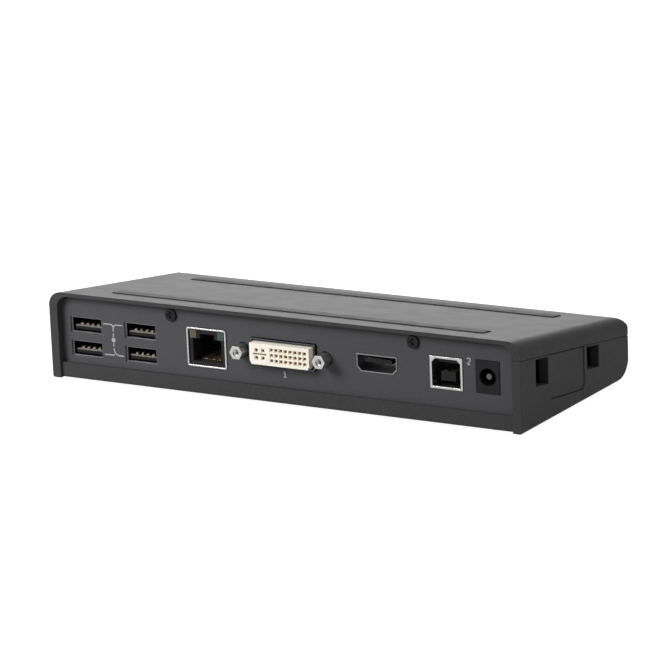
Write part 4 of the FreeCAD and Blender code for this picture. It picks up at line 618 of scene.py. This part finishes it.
def host_lip():
    """The front edge of the USB-B shell, whose mouth has two sloping upper corners."""
    low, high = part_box("usb_b_shell")
    x, z = (low.x + high.x) / 2, (low.z + high.z) / 2
    half_width, half_height = (high.x - low.x) / 2, (high.z - low.z) / 2
    back, inside = high.y - 0.3 * MM, high.y - 1.2 * MM
    shoulder, crown = high.y + 0.04 * MM, high.y + 0.12 * MM

    def outline(inset, slope):
        wide, tall = half_width - inset, half_height - inset
        return [(x - wide, z - tall), (x + wide, z - tall), (x + wide, z + tall - slope),
                (x + wide - slope, z + tall), (x - wide + slope, z + tall),
                (x - wide, z + tall - slope)]

    def draw(builder):
        fine, wall, slope = 0.1 * MM, 0.8 * MM, 1.3 * MM
        ring_of_outlines(builder, [
            (outline(0.0, fine), back), (outline(0.0, fine), shoulder),
            (outline(fine, 2 * fine), crown), (outline(wall - fine, slope), crown),
            (outline(wall, slope), shoulder), (outline(wall, slope), inside)])

    add_piece("usb_b_lip", draw, "bright_lip")


def flat_contacts(builder, x, z, count, pitch, width, y_back, y_front):
    """A row of flat contacts let into the face at height z, each tapered at its tip."""
    half, tip = 0.06 * MM, 0.3 * MM
    outline = [(y_back, z - half), (y_front - tip, z - half), (y_front, z - half / 2),
               (y_front, z + half / 2), (y_front - tip, z + half), (y_back, z + half)]
    for index in range(count):
        extrude_x(builder, outline, x + (index - (count - 1) / 2) * pitch, width)


def host_contacts():
    """Two contacts above and two below the tongue of the USB-B socket."""
    low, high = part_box("usb_b_shell")
    x = (low.x + high.x) / 2
    under, tongue_height = low.z + 2.6 * MM, 3.2 * MM
    y_back, y_front = high.y - 10.8 * MM, high.y - 2.6 * MM
    pitch, width = 2.5 * MM, 1.2 * MM

    def draw(builder):
        for z in (under, under + tongue_height):
            flat_contacts(builder, x, z, 2, pitch, width, y_back, y_front)

    add_piece("usb_b_contacts", draw, "contact_metal")


def video_contacts():
    """Ten contacts below and nine above the tongue of the HDMI socket."""
    low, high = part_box("hdmi_tongue")
    x = (low.x + high.x) / 2
    y_back, y_front = low.y + 0.4 * MM, high.y - 0.5 * MM
    pitch, width = 1.0 * MM, 0.45 * MM

    def draw(builder):
        for z, count in ((low.z, 10), (high.z, 9)):
            flat_contacts(builder, x, z, count, pitch, width, y_back, y_front)

    add_piece("hdmi_contacts", draw, "contact_metal")


def painted_seam_shadows():
    """Near-black strips, painted as the shadow in the joint between tray and cover, where it
    crosses the rear edges of the side walls.
    """
    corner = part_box("bottom_tray")[1]
    insets = (3.3 * MM, 0.25 * MM)
    width, proud = 0.2 * MM, 0.01 * MM

    def draw(builder):
        for side in (-1, 1):
            ends = [(side * (corner.x - inset), corner.z) for inset in insets]
            ribbon(builder, ends, width, corner.y, proud)

    add_piece("rear_seam_painted_shadow_lines", draw, "seam_shadow_paint")


def jackscrew_threads():
    """The tapped thread inside each jackscrew."""
    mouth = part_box("dvi_jackscrews")[1].y
    middle = mid("dvi_jackscrews")
    spacing, radius, pitch, turns = 33.3 * MM, 1.26 * MM, 0.64 * MM, 6

    def draw(builder):
        for side in (-1, 1):
            helix_ridge(builder, (middle.x + side * spacing / 2, middle.z), mouth,
                        radius, pitch, turns)

    add_piece("jackscrew_threads", draw, "nickel")


def round_edges(node, width):
    """Fine rounding of a turned part's corners, by a modifier on its CAD mesh."""
    rounding = NODES[node].modifiers.new("rounding", "BEVEL")
    rounding.width = width
    rounding.segments = 2
    rounding.limit_method = "ANGLE"
    rounding.angle_limit = math.radians(40)


def sockets():
    """The fine details of every socket."""
    usb_stack_inside("left")
    usb_stack_inside("right")
    front_usb_inside("left")
    front_usb_inside("right")
    network_lip()
    host_lip()
    host_contacts()
    video_contacts()
    jackscrew_threads()
    round_edges("dvi_jackscrews", 0.5 * MM)
    round_edges("panel_screws", 0.15 * MM)


# ---- white print on the rear panel ---------------------------------------------------

PRINT_WIDTH = 0.42 * MM


def usb_bracket():
    """Lines that tie the four USB sockets to one plain dot between them."""
    left = mid("usb_stack_left_contacts")
    right = mid("usb_stack_right_contacts")
    centre, middle = (left.x + right.x) / 2, left.z + 0.3 * MM
    gap, rise, stem = 0.2 * MM, 5.6 * MM, 3.1 * MM
    reach_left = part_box("usb_stack_left_shell")[0].x - gap
    reach_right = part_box("usb_stack_right_shell")[1].x + gap
    # Side of the dot, up or down, where the arm ends, and the radius of its bend.
    arms = ((1, 1, reach_left, 0.9 * MM), (-1, 1, reach_right, 1.6 * MM),
            (1, -1, reach_left, 0.4 * MM), (-1, -1, reach_right, 2.4 * MM))

    def draw(builder):
        for side, up, reach, bend in arms:
            level = middle + up * rise
            corner = (centre + side * bend, level - up * bend)
            points = [(reach, level)]
            points += arc_points(corner, bend, 90 * up, 180 * up if side > 0 else 0)
            # Only one arm of each pair draws the stem, and the other stands higher, so that
            # no two faces lie in the same plane where they cross.
            film = 0.03 * MM
            if side < 0:
                points.append((centre, middle + up * stem))
                film = FILM
            ribbon(builder, points, PRINT_WIDTH, PANEL_FACE, film)
        printed_disc(builder, (centre, middle), 0.85 * MM, PANEL_FACE)
        for up in (1, -1):
            ribbon(builder, [(centre, middle + up * 1.15 * MM), (centre, middle + up * 2.4 * MM)],
                   PRINT_WIDTH, PANEL_FACE)

    add_piece("usb_bracket_print", draw, "print_white")


def numeral(name, lines):
    """A plain printed numeral made of lines."""
    def draw(builder):
        for points in lines:
            ribbon(builder, points, PRINT_WIDTH, PANEL_FACE)

    add_piece(name, draw, "print_white")


def numeral_one(name, centre, height):
    """The numeral 1, with its flag on the left when read from behind the dock."""
    x, z = centre
    half, wide = height / 2, height * 0.28
    numeral(name, [[(x, z - half), (x, z + half)],
                   [(x, z + half), (x + wide, z + half * 0.55)],
                   [(x - wide, z - half), (x + wide, z - half)]])


def numeral_two(name, centre, height):
    """The numeral 2, read from behind the dock."""
    x, z = centre
    half, wide = height / 2, height * 0.28
    hook = arc_points((x, z + half - wide), wide, 160, -35, 10)
    seen_from_behind = [(2 * x - px, pz) for px, pz in hook]
    numeral(name, [seen_from_behind + [(x + wide, z - half)],
                   [(x + wide, z - half), (x - wide, z - half)]])


def panel_print():
    """All the white print of the panel."""
    usb_bracket()
    dvi = mid("dvi_insert")
    numeral_one("number_one_print", (dvi.x, dvi.z - 7.2 * MM), 2.0 * MM)
    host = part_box("usb_b_shell")
    numeral_two("number_two_print", (host[0].x - 2.4 * MM, host[1].z - 0.6 * MM), 2.2 * MM)


# ---- floor, lights and camera --------------------------------------------------------

WHITE = (1, 1, 1, 1)
FLOOR_GREY = (0.42, 0.42, 0.42, 1)
FLOOR_GLOW = 0.94
FLOOR_HALF_WIDTH = 6.0
AMBIENT = 0.13


def larger(tree, first, second):
    """The larger of two values in a node tree."""
    node = tree.nodes.new("ShaderNodeMath")
    node.operation = "MAXIMUM"
    tree.links.new(first, node.inputs[0])
    tree.links.new(second, node.inputs[1])
    return node.outputs[0]


def background_ray(tree):
    """1 for rays from the camera, a glossy surface or glass, and 0 for all others."""
    rays = tree.nodes.new("ShaderNodeLightPath").outputs
    seen = larger(tree, rays["Is Camera Ray"], rays["Is Glossy Ray"])
    return larger(tree, seen, rays["Is Transmission Ray"])


def white_for_camera(tree, shader_output, strength):
    """Add plain white to a shader where the camera or a mirror-like surface sees it."""
    nodes, links = tree.nodes, tree.links
    scaled = nodes.new("ShaderNodeMath")
    scaled.operation = "MULTIPLY"
    scaled.inputs[1].default_value = strength
    links.new(background_ray(tree), scaled.inputs[0])
    glow = nodes.new("ShaderNodeEmission")
    glow.inputs["Color"].default_value = WHITE
    links.new(scaled.outputs[0], glow.inputs["Strength"])
    total = nodes.new("ShaderNodeAddShader")
    links.new(shader_output, total.inputs[0])
    links.new(glow.outputs[0], total.inputs[1])
    return total.outputs[0]


def floor():
    """A white floor that shows only the dock's shadow."""
    mesh = bpy.data.meshes.new("floor")
    builder = bmesh.new()
    bmesh.ops.create_grid(builder, x_segments=2, y_segments=2, size=FLOOR_HALF_WIDTH)
    builder.to_mesh(mesh)
    builder.free()
    plane = bpy.data.objects.new("floor", mesh)
    bpy.context.scene.collection.objects.link(plane)
    material = bpy.data.materials.new("floor_white")
    material.use_nodes = True
    tree = material.node_tree
    tree.nodes.clear()
    diffuse = tree.nodes.new("ShaderNodeBsdfDiffuse")
    diffuse.inputs["Color"].default_value = FLOOR_GREY
    output = tree.nodes.new("ShaderNodeOutputMaterial")
    surface = white_for_camera(tree, diffuse.outputs[0], FLOOR_GLOW)
    tree.links.new(surface, output.inputs["Surface"])
    mesh.materials.append(material)


def world():
    """Dim light from all round, which the camera sees as plain white."""
    scene_world = bpy.data.worlds.new("studio")
    bpy.context.scene.world = scene_world
    scene_world.use_nodes = True
    tree = scene_world.node_tree
    tree.nodes.clear()

    def background(strength):
        shader = tree.nodes.new("ShaderNodeBackground")
        shader.inputs["Color"].default_value = WHITE
        shader.inputs["Strength"].default_value = strength
        return shader.outputs[0]

    mix = tree.nodes.new("ShaderNodeMixShader")
    output = tree.nodes.new("ShaderNodeOutputWorld")
    tree.links.new(background_ray(tree), mix.inputs["Fac"])
    tree.links.new(background(AMBIENT), mix.inputs[1])
    tree.links.new(background(1.0), mix.inputs[2])
    tree.links.new(mix.outputs[0], output.inputs["Surface"])


def soft_box(name, place, target, size, power):
    """A square area light aimed at a point."""
    lamp = bpy.data.lights.new(name, "AREA")
    lamp.shape = "SQUARE"
    lamp.size = size
    lamp.energy = power
    holder = bpy.data.objects.new(name, lamp)
    bpy.context.scene.collection.objects.link(holder)
    holder.location = place
    holder.rotation_mode = "QUATERNION"
    holder.rotation_quaternion = (Vector(target) - Vector(place)).to_track_quat("-Z", "Y")


# Each light's place, how far beside the dock's centre it aims, its size and its power.
LIGHTS = {
    "key_light": ((0.34, 0.42, 0.34), (0.05, 0, 0), 0.3, 4.1),
    "top_light": ((0.05, 0.1, 0.95), (0, 0, 0), 0.9, 2.2),
    "fill_light": ((-0.9, 0.35, 0.35), (0, 0, 0), 0.6, 1.2),
    "front_light": ((0.45, -0.85, 0.40), (0, 0, 0), 0.6, 5.0),
}


def lights():
    """All the area lights."""
    for name, (place, aside, size, power) in LIGHTS.items():
        soft_box(name, place, CENTRE + Vector(aside), size, power)


CAMERA_PLACE = Vector((-0.6215, 1.02455, 0.32685))
CAMERA_UP = Vector((0.0535, -0.1643, 0.9849))
FOCAL_LENGTH, SENSOR_WIDTH = 188.0, 36.0


def camera():
    """The photographer's standpoint behind the dock, tilted a little as the camera was."""
    ahead = (CENTRE - CAMERA_PLACE).normalized()
    right = ahead.cross(CAMERA_UP).normalized()
    up = right.cross(ahead)
    lens = bpy.data.cameras.new("camera")
    lens.lens = FOCAL_LENGTH
    lens.sensor_width = SENSOR_WIDTH
    lens.clip_start = 0.05
    lens.clip_end = 50.0
    holder = bpy.data.objects.new("camera", lens)
    bpy.context.scene.collection.objects.link(holder)
    turn = Matrix((right, up, -ahead)).transposed()
    holder.matrix_world = Matrix.Translation(CAMERA_PLACE) @ turn.to_4x4()
    bpy.context.scene.camera = holder


dress_nodes()
sockets()
painted_seam_shadows()
panel_print()
floor()
world()
lights()
camera()
bpy.context.scene.view_settings.view_transform = "Standard"
